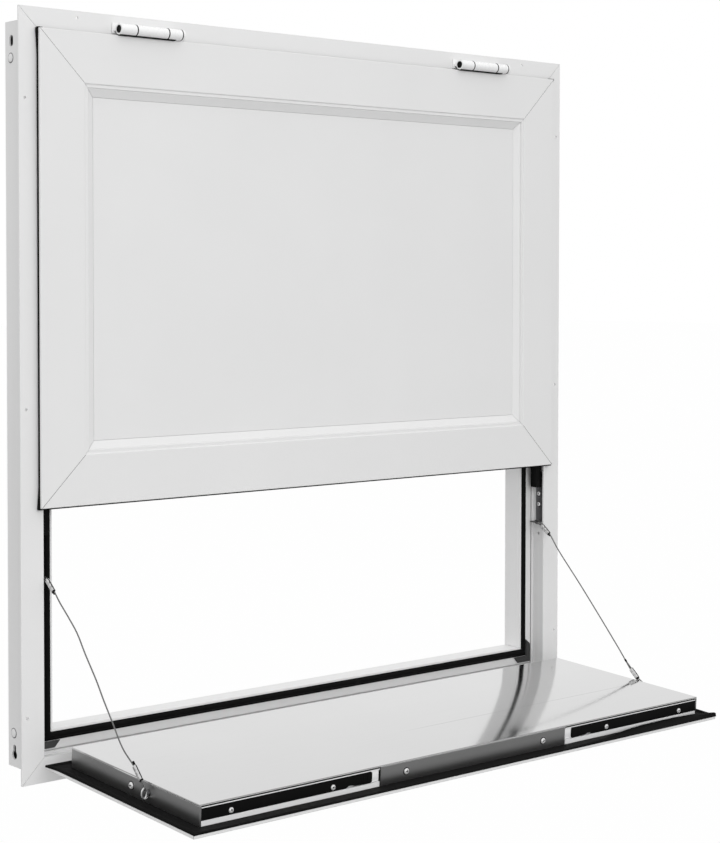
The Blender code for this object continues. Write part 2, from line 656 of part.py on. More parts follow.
def wire_ring(centre, wide, high, diameter, parent=None):
    """An oval ring of round wire, drawn round its two half axes."""
    curve = bpy.data.curves.new("ring", "CURVE")
    curve.dimensions = "3D"
    curve.bevel_depth = diameter / 2
    curve.bevel_resolution = 1
    spline = curve.splines.new("POLY")
    spline.points.add(SMALL_ROUND - 1)
    for i, point in enumerate(spline.points):
        turn = 2 * pi * i / SMALL_ROUND
        point.co = (*(Vector(wide) * cos(turn) + Vector(high) * sin(turn)), 1.0)
    spline.use_cyclic_u = True
    shape = bpy.data.objects.new("ring", curve)
    window.objects.link(shape)
    graph = bpy.context.evaluated_depsgraph_get()
    mesh = bpy.data.meshes.new_from_object(shape.evaluated_get(graph))
    bpy.data.objects.remove(shape)
    bm = bmesh.new()
    bm.from_mesh(mesh)
    bmesh.ops.remove_doubles(bm, verts=bm.verts, dist=0.00001)
    ring = add("ring", bm, ZINC, parent, smooth=True)
    ring.location = Vector(centre) - home(parent)
    return ring


def make_cable(tag, sign, shelf):
    """A stay cable with a loop and a ferrule at each end, from the ear to the shelf's eye."""
    eye = Vector((sign * CABLE_END_X, DOOR_BACK_Y + EYE_DEPTH, SHELF_AXIS.z + EYE_FROM_AXIS))
    make_eye(tag, sign, eye, shelf)
    ear_edge = BRACKET_Y - BRACKET_W / 2
    ear_loop = Vector((sign * CABLE_TOP_X, ear_edge + FERRULE_START[0] + CABLE_LOOP_R / 2,
                       BRACKET_FOOT_Z + BRACKET_T / 2))
    upper = Vector((ear_loop.x, ear_loop.y - CABLE_LOOP_R, ear_loop.z))
    knee = upper + Vector((0, -FERRULE_DROP[0], -FERRULE_DROP[1]))
    ring_top = opened(eye + Vector((0, (EYE_RING_H - EYE_STOCK) / 2, 0)))
    along = (ring_top - knee).normalized()
    end = ring_top - along * (CABLE_LOOP_R - CABLE_D / 2 - EYE_STOCK / 2 - TOUCH)
    low_end = end - along * CABLE_LOOP_R
    low_start = low_end - along * END_FERRULE_L
    cable = rod("stay_cable_" + tag, knee - along * CABLE_D / 2, low_end, CABLE_D, ZINC, sides=8)
    join(cable, rod("ferrule", upper, knee, FERRULE_D, ZINC, sides=12))
    join(cable, rod("end_ferrule", low_start, low_end, FERRULE_D, ZINC, sides=12))
    wide, high = (0, CABLE_LOOP_R, 0), (0, 0, CABLE_LOOP_R)
    join(cable, wire_ring(ear_loop, wide, high, CABLE_D))
    join(cable, wire_ring(end, wide, high, CABLE_D))


def make_eye(tag, sign, eye, shelf):
    """The oval ring on a round foot, at the side of the shelf's pan, that holds the cable."""
    foot_in = PAN_HALF_WIDTH + TOUCH
    foot_out = foot_in + EYE_FOOT_T
    anchor = rod("shelf_cable_eye_" + tag, (sign * foot_in, eye.y, eye.z),
                 (sign * foot_out, eye.y, eye.z), EYE_FOOT_D, ZINC, shelf, sides=SMALL_ROUND)
    join(anchor, wire_ring(eye, ((EYE_RING_W - EYE_STOCK) / 2, 0, 0),
                           (0, (EYE_RING_H - EYE_STOCK) / 2, 0), EYE_STOCK, shelf))


def make_latch(tag, sign, shelf):
    """A slide latch in the free edge of the shelf: a slotted channel and the footed bar in it."""
    face = LATCH_FACE_Z
    back = PAN_SHEET_Y - 1.5 * TOUCH
    middle = PAN_BACK_Y - LATCH_BAR_DROP - LATCH_BAR_H / 2
    lip = face - LATCH_LIP_T
    low_x, high_x = sorted((sign * LATCH_INNER_X, sign * LATCH_OUTER_X))
    channel = block("latch_channel_" + tag, (low_x, back - LATCH_HEIGHT, face - LATCH_DEPTH),
                    (high_x, back, face), ALUMINIUM, shelf)
    half, foot_half = LATCH_BAR_H / 2, LATCH_BAR_H / 2 + LATCH_FOOT_W
    for cutter, reach, low_z, high_z in (
            ("latch_mouth_", half, lip - LATCH_FOOT_T / 2, face + LATCH_DEPTH),
            ("latch_undercut_", foot_half, lip - LATCH_FOOT_T - 2 * TOUCH, lip)):
        cut(channel, block(cutter + tag, (low_x - LATCH_DEPTH, middle - reach - TOUCH, low_z),
                           (high_x + LATCH_DEPTH, middle + reach + TOUCH, high_z),
                           None, shelf, where=cutters))
    bar_t = LATCH_LIP_T + TOUCH + LATCH_FOOT_T / 2
    bar_end = Vector((sign * LATCH_OUTER_X, middle, face - bar_t / 2))
    bar_axis = pivot("latch_slide_" + tag, bar_end, shelf)
    corner, step = LATCH_PADDLE_CORNER, LATCH_PADDLE_STEP
    length = LATCH_LENGTH - LATCH_FREE_END
    neck = length - LATCH_PADDLE_L
    loop = [(0, -half), (neck - step, -half), (neck, -half + step),
            (length - corner, -half + step), (length, -half + step + corner),
            (length, half - corner), (length - corner, half), (0, half)]
    bm = outline_mesh([[(-sign * along, up) for along, up in loop]], bar_t / 2)
    bar = add("latch_bar_" + tag, bm, PLASTIC, bar_axis)
    loop = [(corner, -foot_half), (neck - step, -foot_half), (neck - step, foot_half),
            (corner, foot_half)]
    bm = outline_mesh([[(-sign * along, up) for along, up in loop]], LATCH_FOOT_T / 2)
    bmesh.ops.translate(bm, vec=(0, 0, -bar_t / 2), verts=bm.verts)
    join(bar, add("latch_foot", bm, PLASTIC, bar_axis))


def cut_latch_recesses(pan, shelf):
    """Open the pan's free side for the two latch channels."""
    face = LATCH_FACE_Z
    for tag, sign in (("left", -1), ("right", 1)):
        low_x, high_x = sorted((sign * (LATCH_INNER_X - LATCH_GAP), sign * (LATCH_OUTER_X + TOUCH)))
        cut(pan, block("recess_" + tag, (low_x, DOOR_FACE_Y, face - LATCH_DEPTH),
                       (high_x, PAN_SHEET_Y - TOUCH / 2, face + LATCH_DEPTH),
                       None, shelf, where=cutters))


make_frame()

hatch_pivot = pivot("hatch_axis", HATCH_AXIS)
hatch_pan_edges = (HATCH_BOTTOM + PAN_INSET_FREE, HATCH_TOP - PAN_INSET_HINGE)
make_leaf("hatch", HATCH_BOTTOM, HATCH_TOP, *hatch_pan_edges, WHITE, hatch_pivot)
make_gasket("hatch_gasket", (HATCH_BOTTOM - HATCH_GASKET_OVERHANG, HATCH_TOP - TOUCH),
            (hatch_pan_edges[0] - TOUCH, hatch_pan_edges[1] + TOUCH), 1, HATCH_GASKET_FLARES,
            hatch_pivot)
for side_name, hinge_x in zip(("left", "right"), HINGE_X):
    make_hinge("hatch_hinge_" + side_name, hinge_x, HATCH_AXIS, 1, hatch_pivot)

shelf_pivot = pivot("shelf_axis", SHELF_AXIS)
shelf_pan_edges = (SHELF_BOTTOM + PAN_INSET_HINGE, SHELF_TOP - PAN_INSET_FREE)
shelf_pan = make_leaf("shelf", SHELF_BOTTOM, SHELF_TOP, *shelf_pan_edges, STAINLESS, shelf_pivot)
make_gasket("shelf_gasket", (SHELF_BOTTOM + TOUCH, SHELF_TOP + SHELF_GASKET_OVERHANG),
            (shelf_pan_edges[0] - TOUCH, shelf_pan_edges[1] + TOUCH), -1, SHELF_GASKET_FLARES,
            shelf_pivot)
cut_latch_recesses(shelf_pan, shelf_pivot)
for side_name, hinge_x in zip(("left", "right"), HINGE_X):
    make_hinge("shelf_hinge_" + side_name, hinge_x, SHELF_AXIS, -1, shelf_pivot)

for side_name, side_sign in (("left", -1), ("right", 1)):
    make_strut(side_name, side_sign, hatch_pivot)
    make_bracket(side_name, side_sign)
    make_cable(side_name, side_sign, shelf_pivot)
    make_latch(side_name, side_sign, shelf_pivot)

shelf_pivot.rotation_euler.x = pi / 2 + SHELF_DROOP
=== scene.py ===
"""Concession window: finishes, small hardware, stay cables, light and camera."""
import bmesh
import bpy
from math import cos, pi, radians, sin
from mathutils import Euler, Matrix, Vector


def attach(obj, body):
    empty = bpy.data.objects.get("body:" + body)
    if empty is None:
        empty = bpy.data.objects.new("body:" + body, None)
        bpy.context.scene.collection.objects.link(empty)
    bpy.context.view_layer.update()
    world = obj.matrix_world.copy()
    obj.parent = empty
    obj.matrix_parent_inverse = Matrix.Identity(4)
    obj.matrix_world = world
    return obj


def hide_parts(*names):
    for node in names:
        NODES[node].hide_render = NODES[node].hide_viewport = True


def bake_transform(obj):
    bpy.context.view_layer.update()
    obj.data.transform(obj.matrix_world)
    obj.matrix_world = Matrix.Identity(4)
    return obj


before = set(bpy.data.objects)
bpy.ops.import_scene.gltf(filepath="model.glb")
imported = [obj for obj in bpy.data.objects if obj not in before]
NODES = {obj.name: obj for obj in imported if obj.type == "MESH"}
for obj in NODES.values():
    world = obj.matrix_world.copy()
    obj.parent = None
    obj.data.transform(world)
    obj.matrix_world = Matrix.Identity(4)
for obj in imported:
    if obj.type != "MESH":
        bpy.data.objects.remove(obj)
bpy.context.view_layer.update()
SIDES = (("left", -1), ("right", 1))

# Sizes that the small pieces share with the solids, in metres
EDGE_DROP = 0.00725
FLANGE_HALF = 0.4825
FLANGE_MIDDLE_Z = 0.488
FACE_Y = -0.0025
AXIS_Y = -0.0162
SHELF_AXIS_Z = 0.0191
HATCH_AXIS_Z = 0.9569
DROOP = radians(3.0)
HALF_WIDTH = 0.4582
PAN_HALF = 0.4373
PAN_HINGE_Z = 0.0490
PAN_FREE_Z = 0.3237
SHELF_LOW_Z = 0.0265
SHELF_HIGH_Z = 0.3428
SKIN_BACK_Y = -0.0090
LEAF_FACE_Y = -0.0129
HATCH_LOW_Z = 0.3488
HATCH_HIGH_Z = 0.9495
RAIL_WIDTH = 0.0643
BARREL_D = 0.0142
HINGE_LENGTH = 0.099
HINGE_X = (-0.2947, 0.3034)
KNUCKLE_ENDS = 0.025
PIN_HEAD_L = 0.004
BRACKET_X = 0.4531
JAMB_OUTER_X = 0.468
BAR_MIDDLE_Y = 0.00605
BAR_OUTER_X = 0.4345
BAR_LENGTH = 0.257
BAR_INNER_X = BAR_OUTER_X - BAR_LENGTH
BAR_HALF = 0.00725
BAR_T = 0.0041
EYE = (0.4428, 0.0050, 0.2194)

# Screws and plugs: places in metres, and sizes against a head 8 mm across
BRACKET_SCREW_Y = 0.0107
BRACKET_SCREW_Z = (0.3014, 0.2850)
BRACKET_SCREW_SIZE = 0.85
PLUG_Y = 0.0421
PLUG_Z = (0.9155, 0.0578)
PLUG_SIZE = 1.42
# Size of the painted shade ring round each plug
PLUG_SHADOW_SIZE = 0.93 * PLUG_SIZE
PAN_SIDE_SCREW = (0.0045, 0.1839)
PAN_SIDE_SCREW_SIZE = 1.1
PAN_EDGE_SCREW_X = (-0.1215, 0.1220)
PAN_EDGE_SCREW_Y = 0.0040
LATCH_SCREW_X = {"left": (-0.3924, -0.2399), "right": (0.3983, 0.2466)}
LATCH_SCREW_Y = 0.0041
LATCH_SCREW_SIZE = 0.86
BLADE = (0.0044, 0.0013, 0.0030)
BLADE_Z = 0.0024

# From heights above the flange's bottom edge to the finished place
FRAME_PLACE = Matrix.Translation((0.0, 0.0, -EDGE_DROP))
SHELF_PLACE = (Matrix.Translation((0.0, AXIS_Y, SHELF_AXIS_Z - EDGE_DROP))
               @ Matrix.Rotation(pi / 2 + DROOP, 4, "X")
               @ Matrix.Translation((0.0, -AXIS_Y, -SHELF_AXIS_Z)))

# Tones of the finishes, linear
LEAF_WHITE = (0.755, 0.755, 0.755)
FRAME_WHITE = (0.77, 0.77, 0.77)
HINGE_WHITE = (0.86, 0.86, 0.86)
STAINLESS = (0.66, 0.66, 0.66)
ZINC = (0.17, 0.17, 0.175)
WIRE_GREY = (0.20, 0.20, 0.20)
FERRULE_GREY = (0.62, 0.62, 0.62)
SCREW_GREY = (0.74, 0.74, 0.74)
EYE_GREY = (0.70, 0.70, 0.70)
ALUMINIUM = (0.88, 0.88, 0.885)
RUBBER = (0.0035, 0.0035, 0.0035)
ENAMEL = (0.004, 0.004, 0.004)
KEY_GREY = (0.055, 0.055, 0.055)
FLOOR_GREY = (0.30, 0.30, 0.30)
WHITE = (1.0, 1.0, 1.0, 1.0)

# Grain of the metals: cells per metre along each axis
PLATED_GRAIN = (300.0, 300.0, 300.0)
DRAWN_GRAIN = (900.0, 900.0, 900.0)
PRESSED_GRAIN = (700.0, 700.0, 700.0)
MILL_GRAIN = (5.0, 500.0, 500.0)
PAN_GRAIN = (6.0, 700.0, 700.0)

# The pan with the shelf down: its free top edge (y, z) and the slope of its top, the depths at
# which the top turns to the wall's painted dark reflection and the wall to its darker painted
# foot, the crease across the top with its painted shade, its sides and the x over which it fades
# in, and how far from the free edge the sheet crowns
PAN_FRONT_TOP = (-0.3222, 0.0304)
PAN_SLOPE = 0.0523
PAN_TURN = (0.0012, 0.0028)
PAN_FOOT = (0.010, 0.022)
CREASE_Y = -0.2234
CREASE_SKEW = 0.006
CREASE_SIDES = (0.0003, 0.0011)
CREASE_FADE = (-0.06, 0.02)
CROWN_REACH = 0.21
CROWN_HEIGHT = 0.0105

# Wire rope: thickness, twist in radians a metre, strands, how deep the grooves between them go,
# and the step of the sweep
CABLE_D = 0.0019
ROPE_LAY = 520.0
ROPE_STRANDS = 6
ROPE_GROOVE = 0.74
ROPE_STEP = 0.0007

# Stay cables with the shelf down, in millimetres: (y, height) along the plane each one lies in
STAY_RUNS = {
    "left": {"top": ((-3.0, 258.0), (-19.1, 245.0)), "low": ((-197.3, 58.7), (-211.0, 44.6)),
             "run": ((-34.5, 232.1), (-56.0, 215.0), (-74.2, 198.9), (-91.5, 176.6),
                     (-115.5, 148.3), (-131.5, 126.5), (-148.5, 105.0), (-171.5, 75.9)),
             "tail": 5.0},
    "right": {"top": ((-2.5, 253.6), (-18.3, 241.9)), "low": ((-192.0, 56.9), (-205.0, 45.4)),
              "run": ((-42.1, 215.5), (-86.0, 170.9), (-131.2, 122.9), (-168.9, 81.9)),
              "tail": 17.0},
}
EAR_HEIGHT = 257.9
EAR_LOOP = ((4.6, 2.3), (8.2, 2.8), (10.6, 1.8), (11.2, 0.0), (10.6, -2.0), (8.0, -2.9),
            (3.6, -3.0))
EAR_TAIL = 3.5
ROPE_APART = 1.1
HOOK_RADIUS = 2.35
PULL_ABOVE = 28.0
PULL_BELOW = 25.0

# Ferrules: width of each in metres, how much flatter they are than wide, the dark ribs of painted
# shade along their edges, and the dark band of painted shade at the end. Tail caps: back from the
# tip and beyond it in millimetres, width and thickness
EAR_FERRULE = 0.0066
EYE_FERRULE = 0.0068
FERRULE_FLATTER = 0.0008
FERRULE_WAISTS = (0.35, 0.65)
EDGE_SHADE_PROUD = 0.0013
EDGE_SHADE_THICK = 0.0022
END_SHADE_LONG = 0.0011
END_SHADE_FLATTER = 0.0022
TAIL_CAP = (4.0, 0.6, 0.0027, 0.0029)
EAR_TAIL_CAP = (2.2, 0.6, 0.0026, 0.0028)

# The plane of a cable leans outwards as it rises: by how many metres, then from which height and
# over what rise in millimetres
LEAN_OUT = 0.0032
LEAN_FROM = 36.0
LEAN_RISE = 221.0

# The wire eye: half its width and height, and the radius of its wire
EYE_HALF_WIDE = 0.00365
EYE_HALF_TALL = 0.0063
EYE_STOCK = 0.0011
EYE_TAB_SHIFT = 0.0004

# Strips and trim: how far in from the hinge's ends a black strip of painted shadow stops, how far
# the slide bar's tongue runs out of it and into it, how long the painted shadow strip above the
# lip is, and where the painted shade strip in the land's slot and the gasket's tabs begin and end
SHADOW_STRIP_INSET = (0.001, 0.012)
TONGUE_OUT, TONGUE_IN = 0.0115, 0.0003
LIP_LENGTH = 0.269
LAND_SLOT_SHADE_Z = (0.0500, 0.9260)
GASKET_TAB_X = (0.4520, 0.4588)

# Foam in the jambs: level, height and half its length, then how far it lies inside the jamb's
# outer face, the depth of its middle and half its width
CORES = (("head", 0.937, 0.014), ("sill", 0.033, 0.016))
CORE_INSET = 0.0030
CORE_Y = 0.0405
CORE_HALF = 0.0085

# The shelf's gasket: height of its bulb, least and full, and its share of that on the sides;
# where the bulb of the free edge rises from one to the other; how far it leans in, short of the
# corner; each corner (right, up) with its flare; waves (height, rate along x, skew of z)
BULB_LOW = 0.0016
BULB_HIGH = 0.0059
BULB_SIDES = 0.55
BULB_RISE_X = 0.19
BULB_RISE_RUN = 0.13
BULB_LEAN = 0.0122
BULB_LEAN_X = 0.452
BULB_LEAN_RUN = 0.04
GASKET_CORNERS = ((-1, -1, 0.0045), (1, -1, 0.002), (1, 1, 0.0012), (-1, 1, 0.0))
GASKET_STEPS = 26
GASKET_WEB = 0.0011
GASKET_WAVES = ((0.00025, 37.0, 2.0), (0.00015, 91.0, -1.0))
FLARE_FADE = 9.0

# What a thin piece keeps clear of the solid beside it
HAIR = 0.0003

# Camera in the photograph's frame, and the soft lamps: place, width in metres and watts
FRAME_ROWS = 843.0
FOCAL_ROWS = 1882.46
CENTRE_ROW = 345.64
CAMERA_PLACE = (-1.6733, -2.0596 + FACE_Y, 0.6307 - EDGE_DROP)
CAMERA_YAW, CAMERA_PITCH, CAMERA_ROLL = 0.7030, -0.0326, -0.0012
LAMPS = (("front", (-1.2, -3.6, 1.0), 3.0, 62.0),
         ("left", (-3.4, 0.3, 1.3), 2.2, 16.0),
         ("above", (0.2, -1.2, 3.4), 2.6, 16.0),
         ("behind", (0.6, 4.0, 1.4), 2.6, 40.0))
LAMP_AIM = (0.0, -0.05, 0.45)
SKY_LIGHT = 0.80
FLOOR_Z = -0.45
FLOOR_HALF = 40.0
FLOOR_SEEN = 0.99
FLOOR_IN_GLOSS = 0.08


class Wire:
    """A node's socket that can be added and scaled like a number."""

    def __init__(self, wiring, socket):
        self.wiring = wiring
        self.socket = socket

    def maths(self, kind, first, second):
        return self.wiring.add("ShaderNodeMath", {"operation": kind}, {0: first, 1: second})

    def __add__(self, other):
        return self.maths("ADD", self, other)

    __radd__ = __add__

    def __sub__(self, other):
        return self.maths("SUBTRACT", self, other)

    def __rsub__(self, other):
        return self.maths("SUBTRACT", other, self)

    def __mul__(self, other):
        return self.maths("MULTIPLY", self, other)

    __rmul__ = __mul__

    def __truediv__(self, other):
        return self.maths("DIVIDE", self, other)

    def absolute(self):
        return self.maths("ABSOLUTE", self, 0.0)

    def or_more(self, other):
        return self.maths("MAXIMUM", self, other)

    def step(self, low, high):
        """0 below low and 1 above high, smooth between them."""
        return self.wiring.add("ShaderNodeMapRange", {"interpolation_type": "SMOOTHSTEP"},
                               {"Value": self, "From Min": low, "From Max": high})

    def sibling(self, name):
        """Another output of the same node."""
        return Wire(self.wiring, self.socket.node.outputs[name])


class Wiring:
    """A node tree that takes new nodes and links."""

    def __init__(self, tree):
        self.tree = tree

    def add(self, kind, settings, inputs, out=0):
        """Any node: its settings first, then the values or links of its sockets."""
        node = self.tree.nodes.new(kind)
        for key, value in settings.items():
            setattr(node, key, value)
        for key, value in inputs.items():
            self.link(node.inputs[key], value)
        return Wire(self, node.outputs[out])

    def link(self, socket, value):
        if isinstance(value, Wire):
            self.tree.links.new(value.socket, socket)
        else:
            socket.default_value = value


class Finish(Wiring):
    """One node material, with its Principled shader ready."""

    def __init__(self, name, colour, roughness, metallic=0.0, **sockets):
        self.material = bpy.data.materials.new(name)
        self.material.use_nodes = True
        super().__init__(self.material.node_tree)
        self.shader = self.tree.nodes["Principled BSDF"]
        self.colour = colour
        self.set("Base Color", (*colour, 1.0))
        self.set("Roughness", roughness)
        self.set("Metallic", metallic)
        for socket, value in sockets.items():
            self.set(socket.replace("_", " "), value)

    def set(self, socket, value):
        self.link(self.shader.inputs[socket], value)

    def place(self):
        return self.add("ShaderNodeTexCoord", {}, {}, "Object")

    def axes(self, vector):
        """The three parts of a vector."""
        split = self.add("ShaderNodeSeparateXYZ", {}, {"Vector": vector})
        return [split.sibling(name) for name in "XYZ"]

    def stretched(self, scale):
        """Object place, scaled along each axis."""
        return self.add("ShaderNodeMapping", {}, {"Vector": self.place(), "Scale": scale})

    def noise(self, vector, scale, detail=3.0, rough=0.55):
        return self.add("ShaderNodeTexNoise", {}, {"Vector": vector, "Scale": scale,
                                                   "Detail": detail, "Roughness": rough})

    def blend(self, factor, first, second):
        """A colour between two colours."""
        return self.add("ShaderNodeMix", {"data_type": "RGBA"},
                        {"Factor": factor, 6: first, 7: second}, 2)

    def shade(self, factor, low, high):
        """The base colour, times low where the factor is 0 and times high where it is 1."""
        dark = (*(c * low for c in self.colour), 1.0)
        light = (*(c * high for c in self.colour), 1.0)
        return self.blend(factor, dark, light)

    def roughen(self, base, *patterns):
        """Roughness that swings about its base with each pattern."""
        for pattern, swing in patterns:
            base = base + swing * (pattern - 0.5)
        self.set("Roughness", base)

    def bump(self, height, distance=1.0, strength=1.0):
        self.set("Normal", self.add("ShaderNodeBump", {}, {"Height": height, "Distance": distance,
                                                           "Strength": strength}))


def powder_coat(name, colour, roughness=0.40):
    """White powder coat: orange peel, faint clouds in tone and gloss."""
    coat = Finish(name, colour, roughness)
    place = coat.place()
    peel = coat.noise(place, scale=420.0, detail=2.0)
    cloud = coat.noise(place, scale=5.0)
    coat.set("Base Color", coat.shade(cloud, low=0.965, high=1.02))
    coat.roughen(roughness, (peel, 0.10), (cloud, 0.06))
    coat.bump(peel, distance=0.00006, strength=0.6)
    return coat.material


def sheen_of(metal, stretch):
    """The grain and the clouds of a metal, and the two together as its sheen."""
    grain = metal.noise(metal.stretched(stretch), scale=1.0, detail=4.0, rough=0.6)
    cloud = metal.noise(metal.place(), scale=7.0, detail=2.0)
    return grain, cloud, 0.6 * grain + 0.4 * cloud


def brushed(name, colour, roughness, stretch, metallic=1.0):
    """Metal with a fine grain, longest along the axis with the least cells."""
    metal = Finish(name, colour, roughness, metallic)
    grain, cloud, sheen = sheen_of(metal, stretch)
    metal.set("Base Color", metal.shade(sheen, low=0.93, high=1.04))
    metal.roughen(roughness, (grain, 0.10), (cloud, 0.05))
    metal.bump(grain, distance=0.00001, strength=0.35)
    return metal.material


def moulded(name, colour, roughness, grain_scale=900.0):
    """Moulded plastic or rubber: fine grain, faint dust and wear."""
    body = Finish(name, colour, roughness, Specular_IOR_Level=0.06)
    place = body.place()
    grain = body.noise(place, grain_scale, detail=2.0)
    dust = body.noise(place, scale=24.0, detail=4.0, rough=0.7).step(0.55, 0.8)
    dusty = (*(c * 1.5 + 0.006 for c in colour), 1.0)
    body.set("Base Color", body.blend(dust * 0.6, (*colour, 1.0), dusty))
    body.roughen(roughness + 0.08 * dust, (grain, 0.12))
    body.bump(grain, distance=0.00004, strength=0.5)
    return body.material


def pan_steel():
    """Satin stainless sheet: bright on top, painted reflection dark down the walls, painted shade
    on a faint crease.
    """
    steel = Finish("pan_stainless", STAINLESS, 0.12, 1.0)
    x, y, z = steel.axes(steel.place())
    grain, cloud, sheen = sheen_of(steel, PAN_GRAIN)
    front_y, front_z = PAN_FRONT_TOP
    below = front_z + PAN_SLOPE * (y - front_y) - z
    wall = below.step(*PAN_TURN)
    off_crease = (y - CREASE_Y - CREASE_SKEW * x).absolute()
    # The line along the crease is darkened with painted shade
    crease = x.step(*CREASE_FADE) * (1.0 - off_crease.step(*CREASE_SIDES))
    near = steel.add("ShaderNodeClamp", {}, {"Value": (front_y + CROWN_REACH - y) / CROWN_REACH})
    light = steel.shade(sheen, low=0.95, high=1.05)
    # dark: painted reflection and shade on the walls, darkest at the foot by the gasket
    dark = steel.shade(sheen, low=0.40, high=0.46)
    painted_wall_reflection = steel.blend(wall * (0.80 + 0.20 * below.step(*PAN_FOOT)), light, dark)
    steel.set("Base Color", steel.blend(crease * (1.0 - wall) * 0.35, painted_wall_reflection, dark))
    steel.roughen(0.10 + 0.22 * wall, (grain, 0.05), (cloud, 0.04))
    steel.bump(0.000006 * grain - CROWN_HEIGHT * near * near * (1.0 - wall))
    return steel.material


FINISHES = {
    "leaf_white": powder_coat("leaf_white", LEAF_WHITE),
    "frame_white": powder_coat("frame_white", FRAME_WHITE),
    "hinge_white": powder_coat("hinge_white", HINGE_WHITE, 0.28),
    "pan": pan_steel(),
    "zinc": brushed("zinc_plate", ZINC, 0.34, PLATED_GRAIN),
    "screw": brushed("bright_zinc", SCREW_GREY, 0.26, DRAWN_GRAIN, metallic=0.45),
    "eye": brushed("eye_wire", EYE_GREY, 0.25, DRAWN_GRAIN, metallic=0.8),
    "wire": brushed("wire_rope", WIRE_GREY, 0.36, DRAWN_GRAIN),
    "ferrule": brushed("pressed_aluminium", FERRULE_GREY, 0.22, PRESSED_GRAIN),
    "foam": moulded("dark_foam", ENAMEL, 0.95, 600.0),
    "aluminium": brushed("mill_aluminium", ALUMINIUM, 0.38, MILL_GRAIN, metallic=0.15),
    "rubber": moulded("black_rubber", RUBBER, 0.62),
    "plastic": moulded("black_plastic", ENAMEL, 0.42),
    "enamel": moulded("black_enamel", ENAMEL, 0.38, 1500.0),
    "key": moulded("grey_plastic", KEY_GREY, 0.55),
}

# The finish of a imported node: the first of these words that its name holds, or else the leaves'
FINISH_WORDS = (("hinge", "hinge_white"), ("seal", "rubber"), ("gasket", "rubber"),
                ("corner_key", "key"), ("latch_bar", "plastic"), ("latch_channel", "aluminium"),
                ("shelf_inner_pan", "pan"), ("strut_tube", "enamel"), ("bracket", "zinc"),
                ("cable", "zinc"), ("stud", "zinc"), ("strut_rod", "screw"),
                ("frame_", "frame_white"))


def finish_nodes():
    """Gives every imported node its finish."""
    for name, node in NODES.items():
        words = [finish for word, finish in FINISH_WORDS if word in name]
        for material_slot in node.material_slots:
            material_slot.material = FINISHES[(words or ["leaf_white"])[0]]


def linked(name, data):
    """A new object in the scene."""
    thing = bpy.data.objects.new(name, data)
    bpy.context.scene.collection.objects.link(thing)
    return thing


def discard(*guides):
    """Removes the objects that only served to make others."""
    for guide in guides:
        bpy.data.objects.remove(guide)


def loft(sections, around=True, along=False):
    """A bmesh skin through sections; closed round each section, and end to end if asked."""
    bm = bmesh.new()
    rows = [[bm.verts.new(point) for point in section] for section in sections]
    count = len(rows[0])
    for i in range(len(rows) - 1 + along):
        first, second = rows[i], rows[(i + 1) % len(rows)]
        for j in range(count - 1 + around):
            k = (j + 1) % count
            bm.faces.new((first[j], first[k], second[k], second[j]))
    if not along:
        bm.faces.new(rows[0])
        bm.faces.new(rows[-1])
    return bm


def along_x(profile, ends):
    """A straight strip along x from its (y, z) section."""
    return loft([[(end, *spot) for spot in profile] for end in ends])


def along_z(profile, ends):
    """A straight strip along z from its (x, y) section."""
    return loft([[(*spot, end) for spot in profile] for end in ends])


def lathe(profile, closed=False, steps=32):
    """A body of revolution round Z from (radius, height) points."""
    sections = [[(r * cos(2 * pi * i / steps), r * sin(2 * pi * i / steps), h) for r, h in profile]
                for i in range(steps)]
    bm = loft(sections, around=closed, along=True)
    bmesh.ops.remove_doubles(bm, verts=bm.verts, dist=0.000001)
    return bm


def shape(name, bm, finish=None, place=None, crease=35.0):
    """An object from a bmesh, smooth up to the crease angle."""
    if place:
        bmesh.ops.transform(bm, matrix=place, verts=bm.verts)
    bmesh.ops.recalc_face_normals(bm, faces=bm.faces)
    mesh = bpy.data.meshes.new(name)
    bm.to_mesh(mesh)
    bm.free()
    if finish:
        mesh.materials.append(FINISHES[finish])
    mesh.shade_smooth()
    mesh.set_sharp_from_angle(angle=radians(crease))
    return linked(name, mesh)


def settle(thing):
    """Applies the modifiers of an object into a plain mesh."""
    graph = bpy.context.evaluated_depsgraph_get()
    mesh = bpy.data.meshes.new_from_object(thing.evaluated_get(graph))
    thing.modifiers.clear()
    if thing.type == "MESH":
        thing.data = mesh
        return thing
    plain = linked(thing.name + "_mesh", mesh)
    discard(thing)
    return plain


def bevelled(thing, width):
    """Rounds the edges of a piece."""
    edge = thing.modifiers.new("eased edges", "BEVEL")
    edge.width = width
    edge.segments = 2
    edge.limit_method = "ANGLE"
    edge.angle_limit = radians(40.0)
    return settle(thing)


class Recipe(Wiring):
    """A Geometry Nodes tree with named inputs, built once and applied to many pieces."""

    def __init__(self, name, inputs):
        super().__init__(bpy.data.node_groups.new(name, "GeometryNodeTree"))
        face = self.tree.interface
        face.new_socket("Geometry", in_out="INPUT", socket_type="NodeSocketGeometry")
        for label, kind in inputs:
            face.new_socket(label, in_out="INPUT", socket_type=kind)
        face.new_socket("Geometry", in_out="OUTPUT", socket_type="NodeSocketGeometry")
        self.start = self.tree.nodes.new("NodeGroupInput")
        self.end = self.tree.nodes.new("NodeGroupOutput")

    def given(self, label):
        return Wire(self, self.start.outputs[label])

    def point_value(self, name, kind):
        """A value that each point carries."""
        return self.add("GeometryNodeInputNamedAttribute", {"data_type": kind}, {"Name": name})

    def close(self, geometry, finish):
        real = self.add("GeometryNodeRealizeInstances", {}, {"Geometry": geometry})
        done = self.add("GeometryNodeSetMaterial", {}, {"Geometry": real, "Material": finish})
        self.link(self.end.inputs[0], done)

    def apply(self, thing, values):
        step = thing.modifiers.new(self.tree.name, "NODES")
        step.node_group = self.tree
        for item in self.tree.interface.items_tree:
            if item.in_out == "INPUT" and item.name in values:
                step[item.identifier] = values[item.name]
        return settle(thing)


